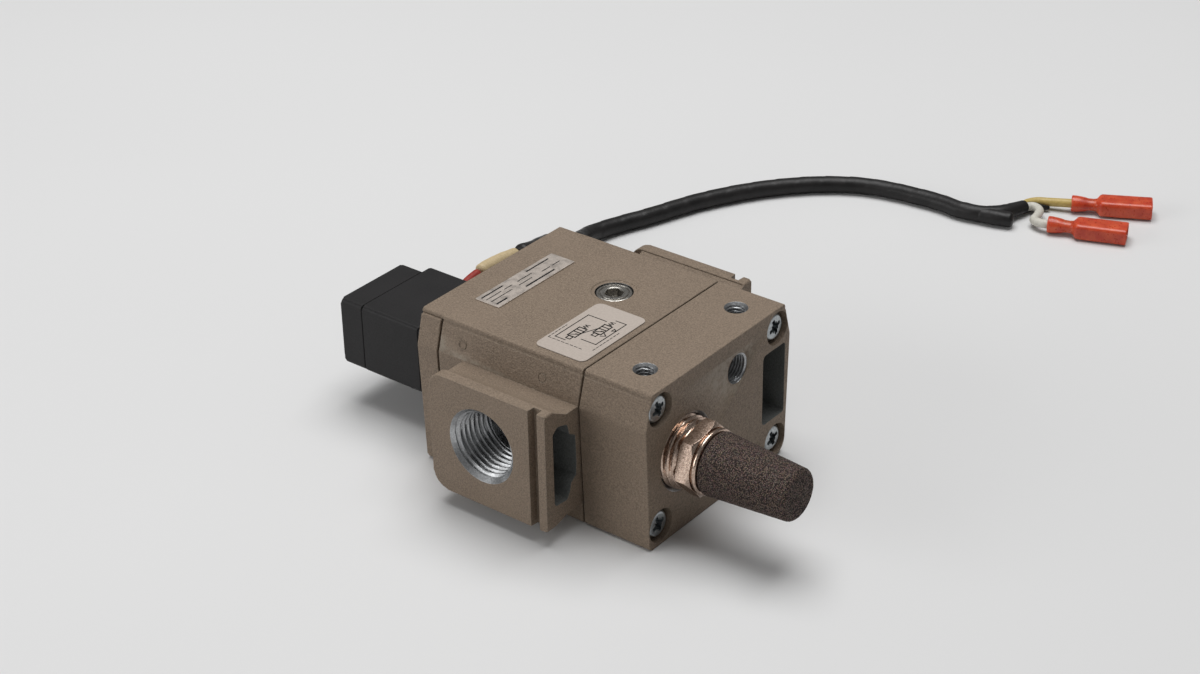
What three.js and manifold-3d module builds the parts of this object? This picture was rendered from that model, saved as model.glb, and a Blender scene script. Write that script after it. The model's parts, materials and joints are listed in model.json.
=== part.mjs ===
// Soft start-up valve with a screwed-in sintered bronze muffler, its pilot solenoid and lead.
// Millimetres, +Z up. While it is built, X = 0 is a datum plane just inside the back of the rear
// cover, X grows towards the muffler, Y = 0 is the middle plane and Z = 0 the flat underside. The
// finished shapes are moved along X at the end so that the origin is under the middle of the part.
import * as THREE from 'three';
import { mergeVertices } from 'three/addons/utils/BufferGeometryUtils.js';
import Module from 'manifold-3d';

const wasm = await Module();
wasm.setup();

// ---------------------------------------------------------------- driving dimensions
const HEIGHT = 48.5;            // underside to top face
const BACK = -0.6;              // back of the rear cover
const LENGTH = 79;              // front face of the front cover
const HALF_TOP = 30.6;          // half width at the top face
const HALF_KNEE = 33.4;         // half width at the knee
const KNEE_Z = 38.1;            // height of the knee
const HALF_BASE = 32;           // half width at the underside
const NEAR_FOOT_R = 1.5;        // corner radii along the underside
const FAR_FOOT_R = 5;
const KNEE_R = 4;
const TOP_EDGE_R = 0.8;
const AXIS_Z = 24.2;            // height of the main bore and of both ports

const REAR_COVER_END = 6.5;     // front of the rear cover
const BODY_START = 7.3;
const BODY_END = 56.1;
const COVER_START = 56.9;
const LIP_THICKNESS = 1.2;      // top lip of the body that covers the rear cover
const GASKET = 0.4;
const SEAM_GAP = 0.2;           // air each side of a gasket

const PORT_X = 33.7;            // centre of the inlet and outlet threads
const PORT_FACE_Y = 47.2;       // half of the face-to-face width
const PORT_MOUTH_R = 11.25;     // 1/2 inch pipe thread with its chamfer
const PORT_THREAD_R = 10.05;
const PORT_BORE_R = 8.75;
const PORT_THREAD_DEPTH = 14;
const RIM_TOP = 41.6;
const RIM_BOTTOM = 5.3;
const RIM_THICKNESS = 3.7;
const RIM_START = 15.7;
const NECK_TOP = 38.3;
const NECK_BOTTOM = 7;
const GROOVE_START = 50.4;      // clamp groove beside the end ridge of each port boss
const GROOVE_END = 53.6;
const GROOVE_DEPTH = 2.5;

const BORE_R = 13.5;            // main bore, from the front
const BORE_START = 24;
const GUIDE_START = 32.7;       // valve guide ring that parts the inlet and outlet chambers
const GUIDE_END = 36.2;
const PISTON_BORE_R = 16;       // pilot piston bore, from the rear
const PISTON_BORE_END = 19;
const SHAFT_R = 3;

const NEEDLE_X = 36.3;
const NEEDLE_Y = 8.5;
const SCREW_Y = 27;
const SCREW_LOW_Z = 6.1;
const SCREW_HIGH_Z = 42.4;
const MUFFLER_Y = -15.7;
const MUFFLER_Z = 24;
const GAUGE_Y = 7.6;
const GAUGE_Z = 38.5;

const COIL_Y = -7.25;           // pilot solenoid: centre line and box
const COIL_LOW_Y = -22.6;
const COIL_HIGH_Y = 8.1;
const CAP_HIGH_Y = 4.7;
const COIL_LOW_Z = 13.1;
const COIL_HIGH_Z = 34.7;
const COIL_BACK = -32.3;
const CAP_FRONT = -32.6;
const CAP_BACK = -41.6;         // face of the step on the end cap
const PILOT_BACK = -10.6;
const PILOT_FRONT = -0.8;

const LEAD_R = 2.9;             // tape-wrapped lead
const WIRE_R = 1.5;
const ORIGIN_X = 36.95;         // middle of the whole length, solenoid cap to muffler tip

// ---------------------------------------------------------------- colours
const PAINT = { color: 0x9a8b76, roughness: 0.62, metalness: 0.35 };
const ZINC = { color: 0x9fa6a8, roughness: 0.35, metalness: 0.9 };
const STEEL = { color: 0xb4b7ba, roughness: 0.3, metalness: 1 };
const BRASS = { color: 0xb58f4c, roughness: 0.35, metalness: 1 };
const COPPER = { color: 0xd9a98c, roughness: 0.3, metalness: 1 };
const BRONZE = { color: 0x5d4d48, roughness: 0.85, metalness: 0.5 };
const ALUMINIUM = { color: 0xc4c6c8, roughness: 0.4, metalness: 1 };
const RUBBER = { color: 0x1a1a1b, roughness: 0.8, metalness: 0 };
const BLACK_PLASTIC = { color: 0x2b2b2d, roughness: 0.55, metalness: 0 };
const LABEL = { color: 0xd6d0c8, roughness: 0.45, metalness: 0 };
const FOIL = { color: 0xb9b6b2, roughness: 0.4, metalness: 0.6 };
const RED = { color: 0x9c2a22, roughness: 0.5, metalness: 0 };
const BEIGE = { color: 0xd6c78a, roughness: 0.6, metalness: 0 };
const TERMINAL_RED = { color: 0xb84f38, roughness: 0.4, metalness: 0 };

// ---------------------------------------------------------------- helpers
const group = new THREE.Group();
group.name = 'soft_start_valve_with_muffler';

function solid(geometry) {
  const clean = geometry.clone();
  clean.deleteAttribute('normal');
  clean.deleteAttribute('uv');
  const merged = mergeVertices(clean, 1e-4);
  return new wasm.Manifold(new wasm.Mesh({
    numProp: 3,
    vertProperties: new Float32Array(merged.attributes.position.array),
    triVerts: new Uint32Array(merged.index.array),
  }));
}

function geometryOf(manifold) {
  const mesh = manifold.getMesh();
  const geometry = new THREE.BufferGeometry();
  geometry.setAttribute('position', new THREE.BufferAttribute(new Float32Array(mesh.vertProperties), 3));
  geometry.setIndex(new THREE.BufferAttribute(new Uint32Array(mesh.triVerts), 1));
  return geometry;
}

function add(name, shape, look) {
  const geometry = shape.isBufferGeometry ? shape.clone() : geometryOf(shape);
  geometry.translate(-ORIGIN_X, 0, 0);
  geometry.computeVertexNormals();
  const mesh = new THREE.Mesh(geometry, new THREE.MeshStandardMaterial(look));
  mesh.name = name;
  group.add(mesh);
  return mesh;
}

// every round shape is asked for at full fineness and made with this share of it
const FINENESS = 0.42;
function facets(count) {
  return 2 * Math.max(4, Math.round((count * FINENESS) / 2));
}

// a cylinder or cone from one end to the other along an axis, centred on the other two coordinates
function round(axis, from, to, a, b, radius, endRadius = radius, segments = 40) {
  const geometry = new THREE.CylinderGeometry(endRadius, radius, to - from, facets(segments));
  const middle = (from + to) / 2;
  if (axis === 'x') {
    geometry.rotateZ(-Math.PI / 2);
    geometry.translate(middle, a, b);
  } else if (axis === 'y') {
    geometry.translate(a, middle, b);
  } else {
    geometry.rotateX(Math.PI / 2);
    geometry.translate(a, b, middle);
  }
  return solid(geometry);
}

function block(x0, x1, y0, y1, z0, z1) {
  const geometry = new THREE.BoxGeometry(x1 - x0, y1 - y0, z1 - z0);
  geometry.translate((x0 + x1) / 2, (y0 + y1) / 2, (z0 + z1) / 2);
  return solid(geometry);
}

// corners are [x, y, fillet radius]; the outline is walked anticlockwise
function outline(corners, steps = 3) {
  const points = [];
  corners.forEach(([x, y, radius], i) => {
    const here = new THREE.Vector2(x, y);
    if (!radius) {
      points.push(here);
      return;
    }
    const before = corners[(i + corners.length - 1) % corners.length];
    const after = corners[(i + 1) % corners.length];
    const back = new THREE.Vector2(before[0] - x, before[1] - y).normalize();
    const ahead = new THREE.Vector2(after[0] - x, after[1] - y).normalize();
    const half = Math.acos(back.dot(ahead)) / 2;
    const reach = radius / Math.tan(half);
    const start = here.clone().addScaledVector(back, reach);
    const end = here.clone().addScaledVector(ahead, reach);
    const centre = back.clone().add(ahead).normalize().multiplyScalar(radius / Math.sin(half)).add(here);
    const from = start.clone().sub(centre).angle();
    let turn = end.clone().sub(centre).angle() - from;
    if (turn > Math.PI) turn -= 2 * Math.PI;
    if (turn < -Math.PI) turn += 2 * Math.PI;
    for (let k = 0; k <= steps; k += 1) {
      const angle = from + (turn * k) / steps;
      points.push(new THREE.Vector2(Math.cos(angle), Math.sin(angle)).multiplyScalar(radius).add(centre));
    }
  });
  return points;
}

const SHAPE_X = new THREE.Vector3(1, 0, 0);
const SHAPE_Y = new THREE.Vector3(0, 1, 0);
const SHAPE_Z = new THREE.Vector3(0, 0, 1);

function extrude(points, depth) {
  return new THREE.ExtrudeGeometry(new THREE.Shape(points), { depth, bevelEnabled: false, steps: 1 });
}

// an outline drawn in (Y, Z) and drawn out along X
function alongX(points, from, to) {
  const geometry = extrude(points, to - from);
  geometry.applyMatrix4(new THREE.Matrix4().makeBasis(SHAPE_Y, SHAPE_Z, SHAPE_X));
  geometry.translate(from, 0, 0);
  return solid(geometry);
}

// an outline drawn in (X, Z) and drawn out along Y
function alongY(points, from, to) {
  const geometry = extrude(points, to - from);
  geometry.applyMatrix4(new THREE.Matrix4().makeBasis(SHAPE_X, SHAPE_Z, SHAPE_Y.clone().negate()));
  geometry.translate(0, to, 0);
  return solid(geometry);
}

// an outline drawn in (X, Y) and drawn out along Z
function alongZ(points, from, to) {
  const geometry = extrude(points, to - from);
  geometry.translate(0, 0, from);
  return solid(geometry);
}

// a turned piece: profile points are [radius, distance along the axis]
function turned(profile, axis, a, b, segments = 40) {
  const points = profile.map(([radius, along]) => new THREE.Vector2(radius, along));
  const geometry = new THREE.LatheGeometry(points, facets(segments));
  if (axis === 'x') {
    geometry.rotateZ(-Math.PI / 2);
    geometry.translate(0, a, b);
  } else {
    geometry.rotateX(Math.PI / 2);
    geometry.translate(a, b, 0);
  }
  return solid(geometry);
}

// a closed ring of round section about an axis along X or Z
function ring(axis, along, a, b, radius, wire, segments = 32) {
  const profile = [];
  const sides = 6;
  for (let i = 0; i <= sides; i += 1) {
    const angle = (2 * Math.PI * i) / sides;
    profile.push([radius + wire * Math.cos(angle), along + wire * Math.sin(angle)]);
  }
  return turned(profile, axis, a, b, segments);
}

function tube(points, radius, steps, sides = 10) {
  const section = [];
  for (let i = 0; i < sides; i += 1) {
    const angle = (2 * Math.PI * i) / sides;
    section.push(new THREE.Vector2(radius * Math.cos(angle), radius * Math.sin(angle)));
  }
  const path = new THREE.CatmullRomCurve3(points.map((p) => new THREE.Vector3(...p)), false, 'centripetal');
  return new THREE.ExtrudeGeometry(new THREE.Shape(section), { steps, extrudePath: path, bevelEnabled: false });
}

function spring(from, to, y, z, radius, wire, turns) {
  const points = [];
  const perTurn = 8;
  for (let i = 0; i <= turns * perTurn; i += 1) {
    const angle = (2 * Math.PI * i) / perTurn;
    const x = from + ((to - from) * i) / (turns * perTurn);
    points.push([x, y + radius * Math.cos(angle), z + radius * Math.sin(angle)]);
  }
  return tube(points, wire, turns * perTurn, 5);
}

function hexagon(acrossFlats, turnDegrees) {
  const radius = acrossFlats / Math.sqrt(3);
  const points = [];
  for (let i = 0; i < 6; i += 1) {
    const angle = ((turnDegrees + 30 + 60 * i) * Math.PI) / 180;
    points.push(new THREE.Vector2(radius * Math.cos(angle), radius * Math.sin(angle)));
  }
  return points;
}

function shifted(points, a, b) {
  return points.map((p) => new THREE.Vector2(p.x + a, p.y + b));
}

// end-on section shared by the rear cover, the body and the front cover
function section(inset, top) {
  const slope = (HALF_KNEE - HALF_TOP) / (HEIGHT - KNEE_Z);
  const halfTop = HALF_TOP + slope * (HEIGHT - top) - inset;
  return outline([
    [-HALF_BASE + inset, inset, NEAR_FOOT_R],
    [HALF_BASE - inset, inset, FAR_FOOT_R - inset],
    [HALF_KNEE - inset, KNEE_Z, KNEE_R],
    [halfTop, top, TOP_EDGE_R],
    [-halfTop, top, TOP_EDGE_R],
    [-HALF_KNEE + inset, KNEE_Z, KNEE_R],
  ], 4);
}

const SCREW_PLACES = [
  [-SCREW_Y, SCREW_HIGH_Z],
  [SCREW_Y, SCREW_HIGH_Z],
  [-SCREW_Y, SCREW_LOW_Z],
  [SCREW_Y, SCREW_LOW_Z],
];

// ---------------------------------------------------------------- port bosses of the body
function portBoss() {
  const neck = block(16, BODY_END, -PORT_FACE_Y + RIM_THICKNESS - 1, -HALF_TOP + 6, NECK_BOTTOM, NECK_TOP);
  const rimOutline = outline([
    [RIM_START, RIM_BOTTOM, 5],
    [BODY_END, RIM_BOTTOM, 0.8],
    [BODY_END, RIM_TOP, 0.8],
    [RIM_START, RIM_TOP, 4],
  ]);
  const chamfer = 0.6;
  const rimInner = outline([
    [RIM_START + chamfer, RIM_BOTTOM + chamfer, 5],
    [BODY_END, RIM_BOTTOM + chamfer, 0.8],
    [BODY_END, RIM_TOP - chamfer, 0.8],
    [RIM_START + chamfer, RIM_TOP - chamfer, 4],
  ]);
  const inside = -PORT_FACE_Y + RIM_THICKNESS;
  const rim = alongY(rimOutline, -PORT_FACE_Y + chamfer, inside);
  const face = alongY(rimInner, -PORT_FACE_Y, -PORT_FACE_Y + chamfer + 0.2);
  const upperFlare = alongX([
    new THREE.Vector2(inside - 0.2, NECK_TOP - 2),
    new THREE.Vector2(inside + 5, NECK_TOP - 2),
    new THREE.Vector2(inside + 5, NECK_TOP - 0.1),
    new THREE.Vector2(inside - 0.2, RIM_TOP - 0.3),
  ], 19.5, BODY_END);
  const lowerFlare = alongX([
    new THREE.Vector2(inside - 0.2, RIM_BOTTOM + 0.3),
    new THREE.Vector2(inside + 5, NECK_BOTTOM + 0.1),
    new THREE.Vector2(inside + 5, NECK_BOTTOM + 2),
    new THREE.Vector2(inside - 0.2, NECK_BOTTOM + 2),
  ], 20.5, BODY_END);
  const groove = alongZ([
    new THREE.Vector2(GROOVE_START, -PORT_FACE_Y - 1),
    new THREE.Vector2(GROOVE_END, -PORT_FACE_Y - 1),
    new THREE.Vector2(GROOVE_END - 0.3, -PORT_FACE_Y + GROOVE_DEPTH),
    new THREE.Vector2(GROOVE_START + 0.3, -PORT_FACE_Y + GROOVE_DEPTH),
  ], -1, HEIGHT);
  return neck.add(rim).add(face).add(upperFlare).add(lowerFlare).subtract(groove);
}

// pocket cored into the end of a port boss, around the cast screw lug
const POCKET = [
  [-43.9, 12, 1.2], [-38.6, 11.5, 1], [-37.4, 13.4, 0], [-36.8, 16, 1], [-34.6, 17.6, 1],
  [-34.3, 21.7, 0], [-34.6, 30.2, 1], [-37.1, 31.6, 1], [-37.9, 35, 1], [-42, 36.2, 1.5],
  [-44, 34.6, 1],
];
const POCKET_DEPTH = 9;

const boss = portBoss();
const pocket = alongX(outline(POCKET, 2), BODY_END - POCKET_DEPTH, BODY_END + 1);
const nearSide = boss.subtract(pocket);
const farSide = nearSide.mirror([0, 1, 0]);

// ---------------------------------------------------------------- main body
function portBore(side, chamberX, chamberRadius) {
  const faceY = side * PORT_FACE_Y;
  const at = (depth) => faceY - side * depth;
  const span = (a, b, r0, r1) => {
    const low = Math.min(at(a), at(b));
    const high = Math.max(at(a), at(b));
    return side < 0
      ? round('y', low, high, PORT_X, AXIS_Z, r0, r1, 48)
      : round('y', low, high, PORT_X, AXIS_Z, r1, r0, 48);
  };
  const mouth = span(-0.6, 1.2, PORT_MOUTH_R + 0.6, PORT_THREAD_R - 0.05);
  const thread = span(-1, PORT_THREAD_DEPTH, PORT_THREAD_R, PORT_THREAD_R - 0.3);
  const bore = span(1, 20, PORT_BORE_R, PORT_BORE_R);
  const passage = span(19, PORT_FACE_Y - 4, chamberRadius, chamberRadius);
  const shift = chamberX - PORT_X;
  return mouth.add(thread).add(bore).add(passage.translate([shift, 0, 0]));
}

const SCREW_HOLE_R = 2.7;
const SCREW_RECESS_R = 4.8;
const FRONT_RECESS = 4.4;
function screwHoles(from, to, radius) {
  return SCREW_PLACES.map(([y, z]) => round('x', from, to, y, z, radius, radius, 28));
}

const CHECK_Y = 19;             // check valve bore, beside the main bore
const CHECK_Z = 9.5;
const CHECK_R = 3.5;
const CHECK_SEAT_X = 36;

const lip = block(BACK, BODY_START + 1, -HALF_TOP + 0.3, HALF_TOP - 0.3, HEIGHT - LIP_THICKNESS, HEIGHT);
let body = alongX(section(0, HEIGHT), BODY_START, BODY_END).add(lip).add(nearSide).add(farSide);
const bodyCuts = [
  round('x', BORE_START, BODY_END + 1, 0, AXIS_Z, BORE_R, BORE_R, 56),
  round('x', BODY_START - 1, PISTON_BORE_END, 0, AXIS_Z, PISTON_BORE_R, PISTON_BORE_R, 56),
  round('x', PISTON_BORE_END - 1, BORE_START + 1, 0, AXIS_Z, 4.4, 4.4, 32),
  portBore(-1, 28.35, 4.2),
  portBore(1, 41.5, 4.6),
  round('z', HEIGHT - 8.3, HEIGHT + 1, NEEDLE_X, NEEDLE_Y, 5.5, 5.5, 48),
  round('z', 30, HEIGHT - 6, NEEDLE_X + 2.2, NEEDLE_Y, 1.6, 1.6, 20),
  round('z', HEIGHT - 0.35, HEIGHT + 1, NEEDLE_X, NEEDLE_Y, 6.4, 6.8, 40),
  round('x', BODY_START - 1, CHECK_SEAT_X, CHECK_Y, CHECK_Z, CHECK_R, CHECK_R, 24),
  round('x', CHECK_SEAT_X - 1, 47, CHECK_Y, CHECK_Z, 2, 2, 20),
  round('y', 3, CHECK_Y, 28.3, 13.2, 1.8, 1.8, 16),
  round('y', 3, CHECK_Y, 45, 11.5, 1.8, 1.8, 16),
  ...screwHoles(BODY_END - 14, BODY_END + 1, SCREW_HOLE_R),
  ...screwHoles(BODY_START - 1, BODY_START + 11, SCREW_HOLE_R),
];
bodyCuts.forEach((cut) => {
  body = body.subtract(cut);
});
add('main_body', body, PAINT);

// ---------------------------------------------------------------- front cover
const EXHAUST_R = 10.7;
let cover = alongX(section(0, HEIGHT), COVER_START, LENGTH);
const WINDOW = outline([[20.3, 13.7, 1.5], [31, 13.7, 1], [31, 36.3, 1], [20.3, 36.3, 1.5]], 3);
const coverCuts = [
  round('x', COVER_START - 1, 60.2, 0, AXIS_Z, BORE_R - 0.5, BORE_R - 0.5, 48),
  round('x', 59, 64, 0, AXIS_Z, 7.5, 7.5, 40),
  round('x', 63, 73.5, 0, AXIS_Z, 9.6, 9.6, 40),
  round('x', 66, LENGTH + 1, MUFFLER_Y, MUFFLER_Z, EXHAUST_R, EXHAUST_R, 48),
  round('x', LENGTH - 0.9, LENGTH + 0.6, MUFFLER_Y, MUFFLER_Z, EXHAUST_R - 0.1, EXHAUST_R + 1.4, 48),
  round('x', 68.5, LENGTH + 1, GAUGE_Y, GAUGE_Z, 4.4, 4.4, 32),
  round('x', LENGTH - 0.9, LENGTH + 0.6, GAUGE_Y, GAUGE_Z, 4.3, 5.8, 32),
  round('x', 58, 69, GAUGE_Y, 35.2, 1.3, 1.3, 12),
  alongX(WINDOW, 63, LENGTH + 1),
  ...screwHoles(COVER_START - 1, LENGTH, SCREW_HOLE_R),
  ...screwHoles(LENGTH - FRONT_RECESS, LENGTH + 1, SCREW_RECESS_R),
];
const TOP_HOLE_X = 69.3;
const TOP_HOLE_Y = 20.8;
[-TOP_HOLE_Y, TOP_HOLE_Y].forEach((y) => {
  coverCuts.push(round('z', 38.6, HEIGHT + 1, TOP_HOLE_X, y, 2.7, 2.7, 24));
  coverCuts.push(round('z', HEIGHT - 0.8, HEIGHT + 0.5, TOP_HOLE_X, y, 2.6, 3.9, 24));
});
coverCuts.forEach((cut) => {
  cover = cover.subtract(cut);
});
add('front_cover', cover, PAINT);

// ---------------------------------------------------------------- rear cover
const PILOT_HOLE_Z = 33;
const REAR_RECESS = 3.6;
const REAR_RECESS_R = 4.4;
const REAR_HEAD_R = 4.1;
let rear = alongX(section(0, HEIGHT - LIP_THICKNESS - 0.2), BACK, REAR_COVER_END);
[
  round('x', BACK - 1, REAR_COVER_END + 1, COIL_Y, PILOT_HOLE_Z, 1.5, 1.5, 16),
  ...screwHoles(BACK - 1, REAR_COVER_END + 1, SCREW_HOLE_R),
  ...screwHoles(BACK - 1, BACK + REAR_RECESS, REAR_RECESS_R),
].forEach((hole) => {
  rear = rear.subtract(hole);
});
add('rear_cover', rear, PAINT);

// ---------------------------------------------------------------- gaskets
function gasket(name, from, openings) {
  let sheet = alongX(section(1.2, HEIGHT - 1.6), from, from + GASKET);
  openings.concat(screwHoles(from - 1, from + 2, SCREW_HOLE_R + 0.2)).forEach((cut) => {
    sheet = sheet.subtract(cut);
  });
  add(name, sheet, RUBBER);
}
gasket('front_gasket', BODY_END + SEAM_GAP, [
  round('x', BODY_END, COVER_START, 0, AXIS_Z, BORE_R, BORE_R, 48),
]);
gasket('rear_gasket', REAR_COVER_END + SEAM_GAP, [
  round('x', REAR_COVER_END, BODY_START, 0, AXIS_Z, PISTON_BORE_R, PISTON_BORE_R, 48),
  round('x', REAR_COVER_END, BODY_START, CHECK_Y, CHECK_Z, CHECK_R, CHECK_R, 20),
]);

// ---------------------------------------------------------------- pan-head cross-recess screws
// outward is +1 for a head that looks along +X and -1 for one that looks along -X
function panHead(name, seat, outward, y, z, headRadius, headHeight, shankRadius, length, look) {
  const s = outward;
  const profile = [
    [0, seat - s * length],
    [shankRadius - 0.4, seat - s * length],
    [shankRadius, seat - s * (length - 0.8)],
    [shankRadius, seat],
    [headRadius, seat],
    [headRadius, seat + s * headHeight * 0.45],
    [headRadius * 0.86, seat + s * headHeight * 0.82],
    [headRadius * 0.55, seat + s * headHeight],
    [0, seat + s * headHeight],
  ];
  let screw = turned(outward > 0 ? profile : profile.reverse(), 'x', y, z, 28);
  const slotWide = headRadius * 0.17;
  const slotLong = headRadius * 0.62;
  const low = Math.min(seat + s * headHeight * 0.4, seat + s * (headHeight + 1));
  const high = Math.max(seat + s * headHeight * 0.4, seat + s * (headHeight + 1));
  const across = block(low, high, y - slotLong, y + slotLong, z - slotWide, z + slotWide);
  const upright = block(low, high, y - slotWide, y + slotWide, z - slotLong, z + slotLong);
  screw = screw.subtract(across.add(upright));
  add(name, screw, look);
}
const HEAD_R = 4.5;
const SHANK_R = 2.45;
SCREW_PLACES.forEach(([y, z], i) => {
  panHead(`cover_screw_${i + 1}`, LENGTH - FRONT_RECESS + 0.2, 1, y, z, HEAD_R, 3.5, SHANK_R, 29, ZINC);
  panHead(`rear_screw_${i + 1}`, BACK + REAR_RECESS - 0.2, -1, y, z, REAR_HEAD_R, 3, SHANK_R, 15, ZINC);
});

// ---------------------------------------------------------------- needle
const NEEDLE_TOP = HEIGHT - 0.5;
let needle = turned([
  [0, NEEDLE_TOP - 6],
  [1.2, NEEDLE_TOP - 6],
  [3.6, NEEDLE_TOP - 5],
  [3.6, NEEDLE_TOP - 3.6],
  [5.2, NEEDLE_TOP - 3.6],
  [5.2, NEEDLE_TOP - 0.4],
  [4.8, NEEDLE_TOP],
  [0, NEEDLE_TOP],
], 'z', NEEDLE_X, NEEDLE_Y, 36);
const socket = shifted(hexagon(5, 20), NEEDLE_X, NEEDLE_Y);
needle = needle.subtract(alongZ(socket, NEEDLE_TOP - 2.6, NEEDLE_TOP + 1));
add('needle_screw', needle, STEEL);
add('needle_o_ring', ring('z', NEEDLE_TOP - 4.35, NEEDLE_X, NEEDLE_Y, 4.6, 0.65, 28), RUBBER);

// ---------------------------------------------------------------- guide, shaft, pistons, poppets
const GUIDE_R = BORE_R - 0.3;
const GROOVE_FLOOR_R = GUIDE_R - 1.4;
const guide = turned([
  [7.5, GUIDE_START],
  [GUIDE_R, GUIDE_START],
  [GUIDE_R, GUIDE_START + 0.9],
  [GROOVE_FLOOR_R, GUIDE_START + 0.9],
  [GROOVE_FLOOR_R, GUIDE_END - 0.9],
  [GUIDE_R, GUIDE_END - 0.9],
  [GUIDE_R, GUIDE_END],
  [7.5, GUIDE_END],
  [7.5, GUIDE_START],
], 'x', 0, AXIS_Z, 48);
add('valve_guide', guide, BRASS);
add('guide_o_ring', ring('x', (GUIDE_START + GUIDE_END) / 2, 0, AXIS_Z, GUIDE_R - 0.7, 0.5, 48), RUBBER);

const bush = round('x', PISTON_BORE_END + 0.3, BORE_START - 0.3, 0, AXIS_Z, 4.2, 4.2, 28)
  .subtract(round('x', PISTON_BORE_END - 1, BORE_START + 1, 0, AXIS_Z, SHAFT_R + 0.2, SHAFT_R + 0.2, 28));
add('shaft_bush', bush, BRASS);

const shaft = turned([
  [0, 15.6],
  [SHAFT_R, 15.6],
  [SHAFT_R, 61.5],
  [5.4, 61.5],
  [5.4, 62.7],
  [2.4, 62.7],
  [2.4, 67],
  [0, 67],
], 'x', 0, AXIS_Z, 28);
add('main_shaft', shaft, STEEL);

const piston = turned([
  [0, 8.6],
  [15, 8.6],
  [15.6, 9.4],
  [15.6, 10.6],
  [14, 10.6],
  [14, 12.8],
  [15.6, 12.8],
  [15.6, 14.2],
  [15, 15.2],
  [0, 15.2],
], 'x', 0, AXIS_Z, 48);
add('pilot_piston', piston, ALUMINIUM);
add('piston_seal', ring('x', 11.7, 0, AXIS_Z, 15.05, 0.6, 48), RUBBER);

function poppet(name, from, to, outer, look) {
  const disc = turned([
    [SHAFT_R + 0.15, from],
    [outer, from],
    [outer, to - 0.8],
    [outer - 0.8, to],
    [SHAFT_R + 0.15, to],
    [SHAFT_R + 0.15, from],
  ], 'x', 0, AXIS_Z, 40);
  add(name, disc, look);
}
poppet('main_poppet', GUIDE_END + 0.3, GUIDE_END + 4.3, 9.6, BRASS);
poppet('exhaust_poppet', 53, 56.9, 9.8, BRASS);
add('return_spring', spring(63.4, 72.8, 0, AXIS_Z, 4.3, 0.55, 5), STEEL);

// ---------------------------------------------------------------- check valve
const ball = new THREE.SphereGeometry(3.1, 20, 12);
ball.translate(CHECK_SEAT_X - 2.6, CHECK_Y, CHECK_Z);
add('check_ball', ball, STEEL);
add('check_spring', spring(14.6, 29.4, CHECK_Y, CHECK_Z, 2.5, 0.3, 5), STEEL);
add('check_plug', round('x', BODY_START + 0.4, 13.6, CHECK_Y, CHECK_Z, 3.3, 3.3, 20), BRASS);

// ---------------------------------------------------------------- muffler
const THREAD_R = 10.4;
const threadProfile = [[0, 71], [9.6, 71]];
const THREAD_PITCH = 1.814;
for (let x = 75.2; x < 81.6; x += THREAD_PITCH) {
  threadProfile.push([9.6, x]);
  threadProfile.push([THREAD_R, x + THREAD_PITCH / 2]);
}
threadProfile.push([9, 82.4]);
threadProfile.push([9, 82.8]);
threadProfile.push([0, 82.8]);
const HEX_START = 82.7;
const HEX_END = 87.2;
const hexBlank = alongX(shifted(hexagon(19, 162), MUFFLER_Y, MUFFLER_Z), HEX_START, HEX_END);
const hexTurn = turned([
  [0, HEX_START - 0.5],
  [9.9, HEX_START - 0.5],
  [11.4, HEX_START + 0.8],
  [11.4, HEX_END - 1.2],
  [9.4, HEX_END + 0.1],
  [0, HEX_END + 0.1],
], 'x', MUFFLER_Y, MUFFLER_Z, 40);
const collar = turned([
  [0, HEX_END - 0.5],
  [9.1, HEX_END - 0.5],
  [9.1, HEX_END + 0.5],
  [8.3, HEX_END + 1.5],
  [0, HEX_END + 1.5],
], 'x', MUFFLER_Y, MUFFLER_Z, 40);
const adapterBore = round('x', 70, 90, MUFFLER_Y, MUFFLER_Z, 6, 6, 32);
const adapter = turned(threadProfile, 'x', MUFFLER_Y, MUFFLER_Z, 48)
  .add(hexBlank.intersect(hexTurn)).add(collar).subtract(adapterBore);
add('muffler_adapter', adapter, COPPER);

const ELEMENT_START = 88.9;
const ELEMENT_END = 115.5;
const element = turned([
  [5.4, ELEMENT_START],
  [9.1, ELEMENT_START],
  [7.5, ELEMENT_END - 1.2],
  [7.2, ELEMENT_END - 0.4],
  [6.6, ELEMENT_END],
  [0, ELEMENT_END],
  [0, ELEMENT_END - 2.5],
  [4.4, ELEMENT_END - 2.5],
  [5.4, ELEMENT_START],
], 'x', MUFFLER_Y, MUFFLER_Z, 40);
add('muffler_element', element, BRONZE);

// ---------------------------------------------------------------- labels on the top face
const LABEL_GAP = 0.05;
const LABEL_THICKNESS = 0.25;
function topLabel(name, x0, x1, y0, y1, corner, look) {
  const shape = outline([[x0, y0, corner], [x1, y0, corner], [x1, y1, corner], [x0, y1, corner]], 4);
  add(name, alongZ(shape, HEIGHT + LABEL_GAP, HEIGHT + LABEL_GAP + LABEL_THICKNESS), look);
}
topLabel('nameplate', 8.25, 16.9, -18.5, 15.2, 0.3, FOIL);
topLabel('symbol_label', 37.3, 54.3, -28.2, 0.4, 2, LABEL);

// ---------------------------------------------------------------- pilot solenoid
function coilBox(x0, x1, y0, y1, corner) {
  return alongX(outline([
    [y0, COIL_LOW_Z, corner],
    [y1, COIL_LOW_Z, corner],
    [y1, COIL_HIGH_Z, corner],
    [y0, COIL_HIGH_Z, corner],
  ], 3), x0, x1);
}
const SOLENOID_SCREWS = [[-19.1, 31.1], [1.2, 17.4]];
const SOLENOID_RECESS = 2.4;
const PLUNGER_R = 4;
const BUTTON_X = -6;
const BUTTON_R = 2.2;
const screwTunnels = (from, to) => SOLENOID_SCREWS.map(([y, z]) => round('x', from, to, y, z, 1.7, 1.7, 16));

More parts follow.
